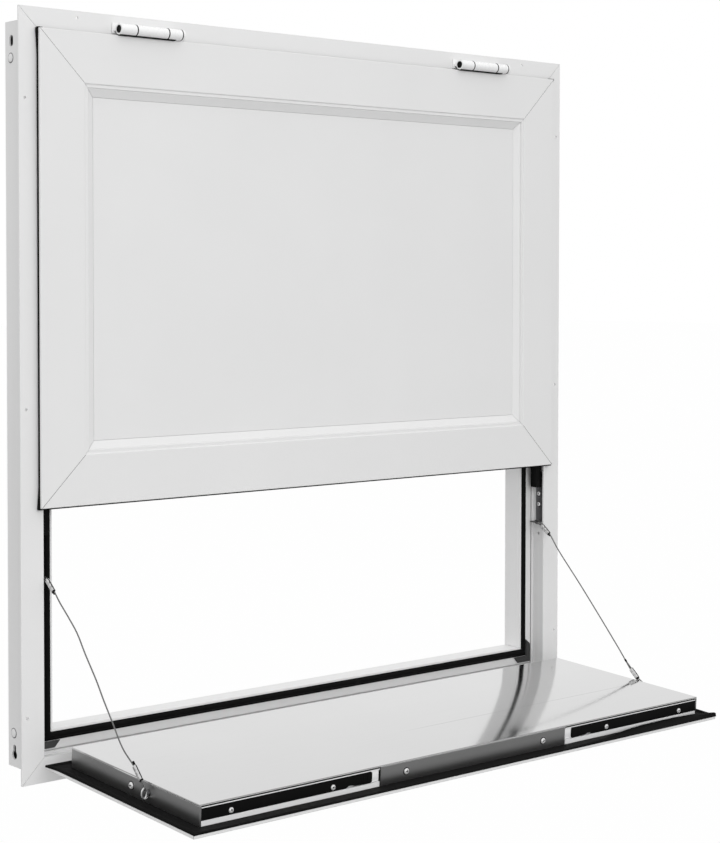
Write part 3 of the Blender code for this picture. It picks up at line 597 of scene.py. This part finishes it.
def rope_recipe():
    """Sweeps a lobed, twisted section along a path, as the strands of a wire rope lie."""
    recipe = Recipe("wire_rope", (("Diameter", "NodeSocketFloat"), ("Lay", "NodeSocketFloat"),
                                  ("Finish", "NodeSocketMaterial")))
    path = recipe.add("GeometryNodeResampleCurve", {"mode": "LENGTH"},
                      {"Curve": recipe.given("Geometry"), "Length": ROPE_STEP})
    run = recipe.add("GeometryNodeSplineParameter", {}, {}, "Length")
    twisted = recipe.add("GeometryNodeSetCurveTilt", {},
                         {"Curve": path, "Tilt": run * recipe.given("Lay")})
    outer = recipe.given("Diameter") * 0.5
    section = recipe.add("GeometryNodeCurveStar", {},
                         {"Points": ROPE_STRANDS, "Inner Radius": outer * ROPE_GROOVE,
                          "Outer Radius": outer})
    swept = recipe.add("GeometryNodeCurveToMesh", {},
                       {"Curve": twisted, "Profile Curve": section, "Fill Caps": True})
    recipe.close(swept, recipe.given("Finish"))
    return recipe


def fitting_recipe():
    """Sets a small part on every point, turned to the point's aim and scaled to its size."""
    recipe = Recipe("small_parts", (("Part", "NodeSocketObject"),
                                    ("Finish", "NodeSocketMaterial")))
    part = recipe.add("GeometryNodeObjectInfo", {}, {"Object": recipe.given("Part")}, "Geometry")
    about = recipe.add("ShaderNodeCombineXYZ", {}, {"Z": recipe.point_value("spin", "FLOAT")})
    turned = recipe.add("FunctionNodeEulerToRotation", {}, {"Euler": about})
    faced = recipe.add("FunctionNodeAlignRotationToVector", {"axis": "Z"},
                       {"Vector": recipe.point_value("aim", "FLOAT_VECTOR")})
    both = recipe.add("FunctionNodeRotateRotation", {"rotation_space": "LOCAL"},
                      {"Rotation": faced, "Rotate By": turned})
    placed = recipe.add("GeometryNodeInstanceOnPoints", {},
                        {"Points": recipe.given("Geometry"), "Instance": part, "Rotation": both,
                         "Scale": recipe.point_value("size", "FLOAT")})
    recipe.close(placed, recipe.given("Finish"))
    return recipe


ROPE = rope_recipe()
FITTINGS = fitting_recipe()


def fit_parts(name, part, spots, finish, body, place=FRAME_PLACE):
    """One mesh of a small part set at (point, aim, size, spin) spots, riding a body."""
    mesh = bpy.data.meshes.new(name)
    mesh.from_pydata([place @ Vector(point) for point, aim, size, spin in spots], [], [])
    turn = place.to_3x3()
    mesh.attributes.new("aim", "FLOAT_VECTOR", "POINT")
    mesh.attributes.new("size", "FLOAT", "POINT")
    mesh.attributes.new("spin", "FLOAT", "POINT")
    for i, (point, aim, size, spin) in enumerate(spots):
        mesh.attributes["aim"].data[i].vector = turn @ Vector(aim)
        mesh.attributes["size"].data[i].value = size
        mesh.attributes["spin"].data[i].value = spin
    thing = FITTINGS.apply(linked(name, mesh), {"Part": part, "Finish": FINISHES[finish]})
    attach(thing, body)


def screw_head():
    """A domed head with a cross recess, 8 mm across."""
    dome = [(0.0, -0.0004), (0.0038, -0.0004), (0.0040, 0.0001), (0.0040, 0.0006),
            (0.0036, 0.0012), (0.0029, 0.0018), (0.0020, 0.0022), (0.0010, 0.0024), (0.0, 0.00245)]
    head = shape("screw_head", lathe(dome), crease=50.0)
    for turn in (0.0, pi / 2):
        bm = bmesh.new()
        bmesh.ops.create_cube(bm, size=1.0)
        bmesh.ops.scale(bm, vec=BLADE, verts=bm.verts)
        bmesh.ops.rotate(bm, matrix=Matrix.Rotation(turn, 3, "Z"), verts=bm.verts)
        blade = shape("recess_blade", bm, place=Matrix.Translation((0.0, 0.0, BLADE_Z)))
        step = head.modifiers.new("recess", "BOOLEAN")
        step.operation = "DIFFERENCE"
        step.solver = "EXACT"
        step.object = blade
        settle(head)
        discard(blade)
    return head


def recess_floor():
    """A dark disc painted as the shade at the floor of the cross recess."""
    return shape("recess_floor", lathe([(0.0, 0.0006), (0.0021, 0.0006), (0.0023, 0.0009),
                                        (0.0021, 0.0013), (0.0, 0.0013)]))


def seat_ring():
    """A dark ring painted as the contact shadow round a screw head or plug, 10 mm across."""
    return shape("seat_ring", lathe([(0.0, 0.0), (0.0050, 0.0), (0.0050, 0.0001),
                                     (0.0047, 0.00025), (0.0, 0.00025)]))


def plug_cap():
    """The low cap of a plug, 8 mm across before it is scaled."""
    return shape("plug_cap", lathe([(0.0, 0.0), (0.0038, 0.0), (0.0039, 0.0002),
                                    (0.0037, 0.0005), (0.0030, 0.0007), (0.0, 0.0009)]))


def make_screws():
    """Screws on the brackets, the pan and the latch bars, and the plugs in the jambs."""
    # floor: a dark disc painted as the shade in each cross recess
    # seat: a dark ring painted as the contact shadow round each head and plug
    head, shadow, floor, cap = screw_head(), seat_ring(), recess_floor(), plug_cap()
    bracket, plugs, plug_shadows = [], [], []
    for tag, sign in SIDES:
        for z in BRACKET_SCREW_Z:
            bracket.append(((sign * BRACKET_X, BRACKET_SCREW_Y, z), (-sign, 0, 0),
                            BRACKET_SCREW_SIZE, 0.4 + z))
        for z in PLUG_Z:
            spot = (sign * JAMB_OUTER_X, PLUG_Y, z)
            plugs.append((spot, (sign, 0, 0), PLUG_SIZE, z))
            plug_shadows.append((spot, (sign, 0, 0), PLUG_SHADOW_SIZE, z))
    fit_parts("bracket_screws", head, bracket, "screw", "frame")
    # Painted contact shadow round the bracket screws
    fit_parts("bracket_screw_seats", shadow, bracket, "rubber", "frame")
    # Painted shade in the recesses of the bracket screws
    fit_parts("bracket_screw_recesses", floor, bracket, "enamel", "frame")
    fit_parts("jamb_plugs", cap, plugs, "frame_white", "frame")
    # Painted shade ring round each plug
    fit_parts("jamb_plug_seats", shadow, plug_shadows, "zinc", "frame")
    pan = [((sign * PAN_HALF, *PAN_SIDE_SCREW), (sign, 0, 0), PAN_SIDE_SCREW_SIZE, 0.3)
           for tag, sign in SIDES]
    pan += [((x, PAN_EDGE_SCREW_Y, PAN_FREE_Z), (0, 0, 1), 1.0, x) for x in PAN_EDGE_SCREW_X]
    fit_parts("pan_screws", head, pan, "screw", "shelf", SHELF_PLACE)
    # Painted contact shadow round the pan screws
    fit_parts("pan_screw_seats", shadow, pan, "rubber", "shelf", SHELF_PLACE)
    # Painted shade in the recesses of the pan screws
    fit_parts("pan_screw_recesses", floor, pan, "enamel", "shelf", SHELF_PLACE)
    for tag, sign in SIDES:
        spots = [((x, LATCH_SCREW_Y, PAN_FREE_Z), (0, 0, 1), LATCH_SCREW_SIZE, 0.2 + 3 * x)
                 for x in LATCH_SCREW_X[tag]]
        bar = "latch_bar_" + tag
        fit_parts("latch_screws_" + tag, head, spots, "screw", bar, SHELF_PLACE)
        # Painted shade in the recesses of the latch screws
        fit_parts("latch_screw_recesses_" + tag, floor, spots, "enamel", bar, SHELF_PLACE)
    discard(head, shadow, floor, cap)


def make_bushings():
    """Black bushing rings between the knuckles, and black discs of painted shade in the bores at
    the ends of the pins.
    """
    r = BARREL_D / 2 + 0.0003
    ring = shape("bushing", lathe([(0.0029, -0.0009), (r - 0.0003, -0.0009), (r, -0.0006),
                                   (r, 0.0006), (r - 0.0003, 0.0009), (0.0029, 0.0009)],
                                  closed=True))
    # A black disc painted as the shade inside the bore at a pin's end
    shaded_end = shape("pin_bore", lathe([(0.0, 0.0002), (0.0034, 0.0002), (0.0046, 0.0006),
                                    (0.0050, 0.0005), (0.0051, 0.0), (0.0, -0.0004)]))
    rings, shaded_ends = [], []
    for z in (HATCH_AXIS_Z, SHELF_AXIS_Z):
        for x in HINGE_X:
            low, high = x - HINGE_LENGTH / 2, x + HINGE_LENGTH / 2
            for place, size in ((low + KNUCKLE_ENDS, 1.0), (high - KNUCKLE_ENDS, 1.0),
                                (high - PIN_HEAD_L + 0.00043, 0.985)):
                rings.append(((place, AXIS_Y, z), (1, 0, 0), size, 0.0))
            shaded_ends.append(((low, AXIS_Y, z), (-1, 0, 0), 1.0, 0.0))
    fit_parts("hinge_bushings", ring, rings, "enamel", "frame")
    fit_parts("hinge_pin_bores", shaded_end, shaded_ends, "enamel", "frame")
    discard(ring, shaded_end)


def make_hinge_shadow_strips():
    """A black strip of painted shadow under each hinge of the hatch."""
    profile = [(AXIS_Y + y, HATCH_AXIS_Z + z)
               for y, z in ((-0.0022, -0.0070), (-0.0020, -0.0078), (0.0, -0.0082),
                            (0.0050, -0.0082), (0.0060, -0.0074), (0.0050, -0.0050))]
    for (tag, sign), x in zip(SIDES, HINGE_X):
        ends = (x - HINGE_LENGTH / 2 + SHADOW_STRIP_INSET[0], x + HINGE_LENGTH / 2 - SHADOW_STRIP_INSET[1])
        # A black strip of painted shadow in the gap between the barrel and the hatch
        strip = shape("hinge_wiper_" + tag, along_x(profile, ends), "rubber", FRAME_PLACE)
        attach(strip, "hatch")


def smooth_path(points, steps=6):
    """Points of a smooth curve through the given points."""
    ends = [points[0]] + points + [points[-1]]
    path = []
    for a, b, c, d in zip(ends, ends[1:], ends[2:], ends[3:]):
        for i in range(steps):
            t = i / steps
            path.append(0.5 * (2 * b + (c - a) * t + (2 * a - 5 * b + 4 * c - d) * t * t
                               + (3 * b - a - 3 * c + d) * t * t * t))
    return path + [points[-1]]


def sleeve(name, start, end, across, wide, thick, finish, waists=()):
    """A pressed sleeve round two ropes, drawn along with the cord: two lobes, pressed waists."""
    along = (end - start).normalized()
    side = along.cross(across).normalized()
    steps, dip, narrow = 28, 0.24, 2.2
    places = [(0.0, 0.80), (0.03, 0.94), (0.07, 1.0), (0.93, 1.0), (0.97, 0.94), (1.0, 0.80)]
    for waist in waists:
        places += [(waist - 0.05, 1.0), (waist - 0.03, 0.93), (waist + 0.03, 0.93),
                   (waist + 0.05, 1.0)]
    sections = []
    for t, scale in sorted(places):
        middle = start.lerp(end, t)
        ring = []
        for i in range(steps):
            turn = 2 * pi * i / steps
            pinch = 1.0 - dip * max(0.0, 1.0 - abs(cos(turn)) * narrow)
            ring.append(middle + across * (wide / 2 * scale * cos(turn))
                        + side * (thick / 2 * scale * pinch * sin(turn)))
        sections.append(ring)
    thing = shape(name, loft(sections), finish, FRAME_PLACE, 50.0)
    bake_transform(thing)


def square_to(way):
    """The direction square to another in the cable's plane."""
    return Vector((-way.y, way.x)).normalized()


def from_nearest(loop, spot):
    """The points of a loop, from the end that is nearer to a spot."""
    return loop if (loop[0] - spot).length < (loop[-1] - spot).length else loop[::-1]


def eye_hook(foot):
    """The rope's turn round the bar of the shelf's eye, open towards the ferrule's foot."""
    bar = SHELF_PLACE @ Vector((0.0, EYE[1] + EYE_HALF_TALL, EYE[2]))
    bar = Vector((bar.y, bar.z + EDGE_DROP)) * 1000.0
    toward = (foot - bar).normalized()
    return [bar + HOOK_RADIUS * (toward * cos(turn) - square_to(toward) * sin(turn))
            for turn in (radians(angle) for angle in range(75, 286, 35))]


def make_stay(tag, sign):
    """A stay cable: ear loop, ferrule, run, ferrule and a loop round the shelf's eye."""
    def place(spot):
        """A point of the cable's plane, in metres."""
        lean = (spot.y - LEAN_FROM) / LEAN_RISE * LEAN_OUT
        return Vector((sign * (EYE[0] + lean), spot.x / 1000.0, spot.y / 1000.0))

    def direction(way):
        return Vector((0.0, way.x, way.y)).normalized()

    facts = STAY_RUNS[tag]
    top, knee, low, foot = (Vector(spot) for spot in (*facts["top"], *facts["low"]))
    up, down = square_to(top - knee) * ROPE_APART, square_to(low - foot) * ROPE_APART
    drop, rise = (knee - top).normalized(), (low - foot).normalized()
    ear_tip = knee - up + drop * EAR_TAIL
    tip = low + down + rise * facts["tail"]
    ear = from_nearest([Vector((y, EAR_HEIGHT + z)) for y, z in EAR_LOOP], top - up)
    hook = from_nearest(eye_hook(foot), foot - down)
    points = [ear_tip, knee - up, top - up, *ear, top + up, knee + up,
              *(Vector(spot) for spot in facts["run"]),
              low - down, foot - down, *hook, foot + down, low + down, tip]
    path = smooth_path([place(spot) for spot in points])
    curve = bpy.data.curves.new("stay_path", "CURVE")
    curve.dimensions = "3D"
    spline = curve.splines.new("POLY")
    spline.points.add(len(path) - 1)
    for point, spot in zip(spline.points, path):
        point.co = (*(FRAME_PLACE @ spot), 1.0)
    rope = ROPE.apply(linked("stay_rope_" + tag, curve),
                      {"Diameter": CABLE_D, "Lay": ROPE_LAY, "Finish": FINISHES["wire"]})
    rope.name = "stay_rope_" + tag
    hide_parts("stay_cable_" + tag)
    pull = (FRAME_PLACE @ place(top - drop * PULL_ABOVE),
            FRAME_PLACE @ place(foot - rise * PULL_BELOW))
    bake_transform(rope)
    for name, begin, end, side, wide in (("ear", top, knee, up, EAR_FERRULE),
                                         ("eye", low, foot, down, EYE_FERRULE)):
        begin, end, side = place(begin), place(end), direction(side)
        rim = end + (end - begin).normalized() * END_SHADE_LONG
        sleeve("%s_ferrule_%s" % (name, tag), begin, end, side, wide, wide - FERRULE_FLATTER,
               "ferrule", FERRULE_WAISTS)
        # Dark ribs of painted shade along both edges of the ferrule
        sleeve("%s_ferrule_seam_%s" % (name, tag), begin, end, side, wide + EDGE_SHADE_PROUD,
               EDGE_SHADE_THICK, "enamel")
        # A dark band of painted shade at the ferrule's lower end
        sleeve("%s_ferrule_rim_%s" % (name, tag), end, rim, side, wide, wide - END_SHADE_FLATTER,
               "enamel")
    for name, end, way, side, cap in (("tail_cap_", tip, rise, down, TAIL_CAP),
                                      ("ear_tail_cap_", ear_tip, drop, up, EAR_TAIL_CAP)):
        back, beyond, wide, thick = cap
        sleeve(name + tag, place(end - way * back), place(end + way * beyond), direction(side),
               wide, thick, "enamel")


def make_eye(tag, sign):
    """The oval wire eye on the side of the pan, with its round foot dark as painted shadow, and
    its tab.
    """
    x, y, z = EYE
    steps, sides = 48, 12
    sections = []
    for i in range(steps):
        turn = 2 * pi * i / steps
        middle = Vector((sign * x + EYE_HALF_WIDE * cos(turn), y + EYE_HALF_TALL * sin(turn), z))
        out = Vector((cos(turn) * EYE_HALF_TALL, sin(turn) * EYE_HALF_WIDE, 0.0)).normalized()
        sections.append([middle + out * (EYE_STOCK * cos(2 * pi * j / sides))
                         + Vector((0, 0, EYE_STOCK * sin(2 * pi * j / sides)))
                         for j in range(sides)])
    ring = shape("shelf_eye_" + tag, loft(sections, along=True), "eye", SHELF_PLACE)
    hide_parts("shelf_cable_eye_" + tag)
    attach(ring, "shelf")
    foot = lathe([(0.0, 0.0), (0.0044, 0.0), (0.0045, 0.0004), (0.0043, 0.0010), (0.0036, 0.0014),
                  (0.0, 0.0014)])
    outward = (Matrix.Translation((sign * (PAN_HALF + 0.0002), y, z))
               @ Matrix.Rotation(sign * pi / 2, 4, "Y"))
    # The foot's dark zinc is painted shadow round the eye
    shadow_foot = shape("eye_foot_" + tag, foot, "zinc", SHELF_PLACE @ outward)
    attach(shadow_foot, "shelf")
    root = PAN_HALF + EYE_TAB_SHIFT
    tab = []
    for t in (0.0, 0.35, 0.7, 1.0):
        half = 0.0019 - 0.0003 * t
        middle = Vector((sign * (root + (x - root) * t), y - 0.0068 + 0.0022 * (t - 1) ** 2, z))
        tab.append([middle + Vector((0, thick, wide))
                    for thick, wide in ((-0.0007, -half), (-0.0007, half), (0.0007, half),
                                        (0.0007, -half))])
    bracket = bevelled(shape("eye_tab_" + tag, loft(tab), "ferrule", SHELF_PLACE), 0.0003)
    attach(bracket, "shelf")


def make_latch_bar(tag, sign):
    """The black slide bar: full height, with a notched and ribbed finger grip at its inner end."""
    grip = [(0.0, -4.6), (0.8, -6.2), (2.4, -7.1), (14.0, -7.1), (16.5, -6.7), (27.0, -6.4),
            (29.5, -5.7), (31.5, -5.0), (36.5, -4.9), (40.0, -6.2), (42.0, -7.25),
            (256.6, -7.25), (257.0, -6.9), (257.0, 6.9), (256.6, 7.25), (39.0, 7.25), (36.0, 6.3),
            (28.0, 6.3), (26.0, 7.1), (2.6, 7.1), (0.9, 6.2), (0.0, 4.4)]
    outline = [(sign * (BAR_INNER_X + along / 1000.0), BAR_MIDDLE_Y + up / 1000.0)
               for along, up in grip]
    body = along_z(outline, (PAN_FREE_Z - BAR_T, PAN_FREE_Z - 0.0001))
    bar = bevelled(shape("slide_bar_" + tag, body, "plastic", SHELF_PLACE, 30.0), 0.00035)
    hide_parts("latch_bar_" + tag)
    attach(bar, "latch_bar_" + tag)
    ribs = ((4.4, 7.6, 0.9), (13.5, 1.2, 0.5), (17.0, 1.2, 0.5), (20.5, 1.2, 0.5))
    for i, (along, wide, tall) in enumerate(ribs):
        middle = sign * (BAR_INNER_X + along / 1000.0)
        low, high = middle - wide / 2000.0, middle + wide / 2000.0
        outline = [(low, BAR_MIDDLE_Y - 0.0056), (high, BAR_MIDDLE_Y - 0.0056),
                   (high, BAR_MIDDLE_Y + 0.0058), (low, BAR_MIDDLE_Y + 0.0058)]
        base = PAN_FREE_Z - 0.0004
        body = along_z(outline, (base, base + tall / 1000.0))
        rib = bevelled(shape("grip_rib_%s_%d" % (tag, i), body, "plastic", SHELF_PLACE), 0.0002)
        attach(rib, "latch_bar_" + tag)


def make_latch_trim(tag, sign):
    """The bar's pale tongue in the open end of the channel, and a dark strip of painted shadow
    above the lip.
    """
    half = BAR_HALF - 0.0002
    profile = [(BAR_MIDDLE_Y + y, PAN_FREE_Z + z)
               for y, z in ((-half, -0.0036), (half, -0.0036), (half, -0.0020),
                            (half - 0.0004, -0.0018), (0.0004 - half, -0.0018),
                            (-half, -0.0020))]
    ends = (sign * (BAR_INNER_X - TONGUE_OUT), sign * (BAR_INNER_X + TONGUE_IN))
    tongue = shape("bar_tongue_" + tag, along_x(profile, ends), "aluminium", SHELF_PLACE)
    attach(tongue, "latch_bar_" + tag)
    # A black strip of painted shadow in the gap between the pan's top sheet and the lip
    profile = [(y, PAN_FREE_Z + z)
               for y, z in ((0.0150, -0.0010), (0.0150, 0.0003), (0.0154, 0.0005),
                            (0.0160, 0.0005), (0.0164, 0.0003), (0.0164, -0.0010))]
    ends = (sign * (BAR_OUTER_X - LIP_LENGTH), sign * BAR_OUTER_X)
    strip = shape("lip_seal_" + tag, along_x(profile, ends), "rubber", SHELF_PLACE)
    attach(strip, "shelf")


def make_seal_flap():
    """The thin flap of the bulb seal that lies on the rebate's land, all round."""
    sections = []
    for right, up in ((-1, -1), (1, -1), (1, 1), (-1, 1)):
        sections.append([(right * (FLANGE_HALF - u), y,
                          FLANGE_MIDDLE_Z + up * (FLANGE_MIDDLE_Z - u))
                         for u, y in ((0.0449, 0.0244), (0.0450, 0.0240), (0.0458, 0.0237),
                                      (0.0478, 0.0236), (0.0480, 0.0240), (0.0480, 0.0244))])
    flap = shape("seal_flap", loft(sections, along=True), "rubber", FRAME_PLACE)
    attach(flap, "frame")


def make_land_slot_shades():
    """A dark strip of painted shade in the slot of each jamb's land."""
    for tag, sign in SIDES:
        profile = [(sign * (FLANGE_HALF - u), y)
                   for u, y in ((0.0319, 0.0275), (0.0319, 0.0259), (0.0322, 0.0256),
                                (0.0334, 0.0256), (0.0337, 0.0259), (0.0337, 0.0275))]
        # Painted shade: the slot's darkness, set as a dark strip
        slot_shade = shape("land_slot_bead_" + tag, along_z(profile, LAND_SLOT_SHADE_Z), "key", FRAME_PLACE)
        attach(slot_shade, "frame")


def make_mitre_seams():
    """The hairline joints of the mitred rails, wider at the lower corners."""
    section = ((-1, 0.0001), (-0.7, -0.0001), (0.7, -0.0001), (1, 0.0001))
    for body, low, high, place in (("hatch", HATCH_LOW_Z, HATCH_HIGH_Z, FRAME_PLACE),
                                   ("shelf", SHELF_LOW_Z, SHELF_HIGH_Z, SHELF_PLACE)):
        for tag, sign in SIDES:
            for end, z, up, half in (("lower", low, 1, 0.00030), ("upper", high, -1, 0.00018)):
                across = Vector((up, 0.0, sign)).normalized() * half
                sections = []
                for run in (0.0008, RAIL_WIDTH - 0.0002):
                    middle = Vector((sign * (HALF_WIDTH - run), LEAF_FACE_Y, z + up * run))
                    sections.append([middle + across * side + Vector((0.0, depth, 0.0))
                                     for side, depth in section])
                seam = shape("mitre_seam_%s_%s_%s" % (body, end, tag), loft(sections), "key",
                             place)
                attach(seam, body)


def make_gasket_tabs():
    """The ends of the hatch's gasket, which peep over the leaf's top corners."""
    profile = ((-0.0088, 0.9480), (-0.0088, 0.9504), (-0.0082, 0.9509), (-0.0058, 0.9509),
               (-0.0052, 0.9504), (-0.0052, 0.9480))
    for tag, sign in SIDES:
        ends = [sign * x for x in GASKET_TAB_X]
        tab = shape("gasket_tab_" + tag, along_x(profile, ends), "rubber", FRAME_PLACE)
        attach(tab, "hatch")


def clamp(value, low=0.0, high=1.0):
    return max(low, min(high, value))


def gasket_stand(x, front):
    """How high the bulb of the shelf's gasket stands, and how far it leans in."""
    if not front:
        return BULB_HIGH * BULB_SIDES, 0.0
    rise = clamp((x - BULB_RISE_X) / BULB_RISE_RUN)
    rise = rise * rise * (3 - 2 * rise)
    lean = clamp((BULB_LEAN_X - x) / BULB_LEAN_RUN)
    return BULB_LOW + (BULB_HIGH - BULB_LOW) * rise, BULB_LEAN * rise * lean


def gasket_section(outer, inner, inward, wave, tall, lean):
    """One section of the gasket: from the outer edge over the bulb to the web's inner edge."""
    front_y = SKIN_BACK_Y + HAIR
    web = front_y + GASKET_WEB + 0.4 * wave
    top = min(front_y + tall + wave, FACE_Y - HAIR)
    rise = top - web
    profile = [(0.0, front_y), (0.0001 + abs(wave), front_y + 0.4 * (top - front_y)),
               (0.0006, web + 0.75 * rise), (0.0016, web + 0.95 * rise), (0.0028, top),
               (0.0040, web + 0.95 * rise), (0.0050, web + 0.75 * rise),
               (0.0056, web + 0.35 * rise), (0.0062, web)]
    ring = []
    for u, y in profile:
        shift = u + lean * min(1.0, u / 0.001)
        ring.append((outer.x + inward.x * shift, y, outer.y + inward.y * shift))
    return ring + [(inner.x, web, inner.y), (inner.x, front_y, inner.y)]


def make_shelf_gasket():
    """The soft gasket round the shelf: a web with a wavy bulb that flares at the corners."""
    half_w = HALF_WIDTH - HAIR
    low, high = SHELF_LOW_Z + HAIR, SHELF_HIGH_Z + 0.0007
    pan_low, pan_high, pan_half = PAN_HINGE_Z - HAIR, PAN_FREE_Z + HAIR, PAN_HALF + HAIR
    sections = []
    for i, (right, up, flare) in enumerate(GASKET_CORNERS):
        next_right, next_up, next_flare = GASKET_CORNERS[(i + 1) % 4]
        for k in range(GASKET_STEPS):
            t = k / GASKET_STEPS
            far = 1.0 - t
            flare_here = flare * max(0.0, 1.0 - t * FLARE_FADE) ** 2
            flare_next = next_flare * max(0.0, 1.0 - far * FLARE_FADE) ** 2
            x = (right * far + next_right * t) * half_w
            z = low + (high - low) * (0.5 + 0.5 * (up * far + next_up * t))
            if up == next_up:
                outer = Vector((x + right * flare_here + next_right * flare_next, z))
                inner = Vector((clamp(x, -pan_half, pan_half), pan_low if up < 0 else pan_high))
                inward = Vector((0.0, -up))
            else:
                outer = Vector((x + right * (flare_here + flare_next), z))
                inner = Vector((right * pan_half, clamp(z, pan_low, pan_high)))
                inward = Vector((-right, 0.0))
            if k == 0:
                inward = Vector((-right, -up))
            wave = sum(tall * sin(rate * (x + skew * z)) for tall, rate, skew in GASKET_WAVES)
            front = up > 0 and (next_up > 0 or k == 0)
            sections.append(gasket_section(outer, inner, inward, wave, *gasket_stand(x, front)))
    gasket = shape("soft_gasket", loft(sections, along=True), "rubber", SHELF_PLACE, 60.0)
    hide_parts("shelf_gasket")
    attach(gasket, "shelf")


def make_jamb_cores():
    """Dark foam inside the jambs, seen through the slot and the keyhole."""
    steps = 20
    for tag, sign in SIDES:
        x = sign * (JAMB_OUTER_X - CORE_INSET)
        for level, z, half in CORES:
            sections = []
            for depth, grow in ((0.0, 0.0), (0.004, 0.0015), (0.010, 0.0)):
                sections.append([(x - sign * depth,
                                  CORE_Y + (CORE_HALF + grow) * cos(2 * pi * i / steps),
                                  z + (half + grow) * sin(2 * pi * i / steps))
                                 for i in range(steps)])
            core = shape("jamb_core_%s_%s" % (level, tag), loft(sections), "foam", FRAME_PLACE)
            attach(core, "frame")


def white_surroundings():
    """White to the camera and in gloss, a little dimmer as the light on the window."""
    world = bpy.data.worlds.new("studio")
    bpy.context.scene.world = world
    world.use_nodes = True
    sky = Wiring(world.node_tree)
    camera = sky.add("ShaderNodeLightPath", {}, {}, "Is Camera Ray")
    mirrored = camera.sibling("Is Glossy Ray").or_more(camera.sibling("Is Transmission Ray"))
    background = sky.tree.nodes["Background"]
    sky.link(background.inputs["Color"], WHITE)
    sky.link(background.inputs["Strength"],
             SKY_LIGHT + (1.0 - SKY_LIGHT) * camera.or_more(mirrored))


def make_floor():
    """A large pale floor, white to the camera and softly grey to everything else."""
    bm = bmesh.new()
    bmesh.ops.create_grid(bm, x_segments=1, y_segments=1, size=FLOOR_HALF)
    mesh = bpy.data.meshes.new("floor")
    bm.to_mesh(mesh)
    bm.free()
    floor = linked("floor", mesh)
    floor.location.z = FLOOR_Z
    ground = Finish("pale_floor", FLOOR_GREY, 0.8)
    camera = ground.add("ShaderNodeLightPath", {}, {}, "Is Camera Ray")
    through, glossy = camera.sibling("Is Transmission Ray"), camera.sibling("Is Glossy Ray")
    glow = ground.add("ShaderNodeEmission", {}, {"Color": WHITE, "Strength": 1.0})
    mixed = ground.add("ShaderNodeMixShader", {},
                       {0: FLOOR_SEEN * camera + through + FLOOR_IN_GLOSS * glossy,
                        1: Wire(ground, ground.shader.outputs[0]), 2: glow})
    ground.link(ground.tree.nodes["Material Output"].inputs["Surface"], mixed)
    mesh.materials.append(ground.material)


def add_lamps():
    """Square soft lamps that face the window and don't show in its gloss."""
    for name, place, size, watts in LAMPS:
        light = bpy.data.lights.new(name, "AREA")
        light.size = size
        light.energy = watts
        lamp = linked(name, light)
        lamp.visible_glossy = False
        lamp.location = place
        aim = Vector(LAMP_AIM) - Vector(place)
        lamp.rotation_euler = aim.to_track_quat("-Z", "Y").to_euler()


def add_camera():
    """The photograph's viewpoint: from the left, a little above the middle."""
    data = bpy.data.cameras.new("camera")
    camera = linked("camera", data)
    data.sensor_fit = "VERTICAL"
    data.sensor_height = 36.0
    data.lens = data.sensor_height * FOCAL_ROWS / FRAME_ROWS
    data.shift_y = (CENTRE_ROW - FRAME_ROWS / 2) / FRAME_ROWS
    data.clip_end = 100.0
    camera.location = CAMERA_PLACE
    camera.rotation_euler = Euler((pi / 2 + CAMERA_PITCH, CAMERA_ROLL, -CAMERA_YAW), "XYZ")
    bpy.context.scene.camera = camera


finish_nodes()
make_screws()
make_bushings()
make_hinge_shadow_strips()
for side_name, side_sign in SIDES:
    make_stay(side_name, side_sign)
    make_eye(side_name, side_sign)
    make_latch_bar(side_name, side_sign)
    make_latch_trim(side_name, side_sign)
make_seal_flap()
make_land_slot_shades()
make_gasket_tabs()
make_mitre_seams()
make_shelf_gasket()
make_jamb_cores()
white_surroundings()
make_floor()
add_lamps()
add_camera()
bpy.context.scene.view_settings.view_transform = "Standard"
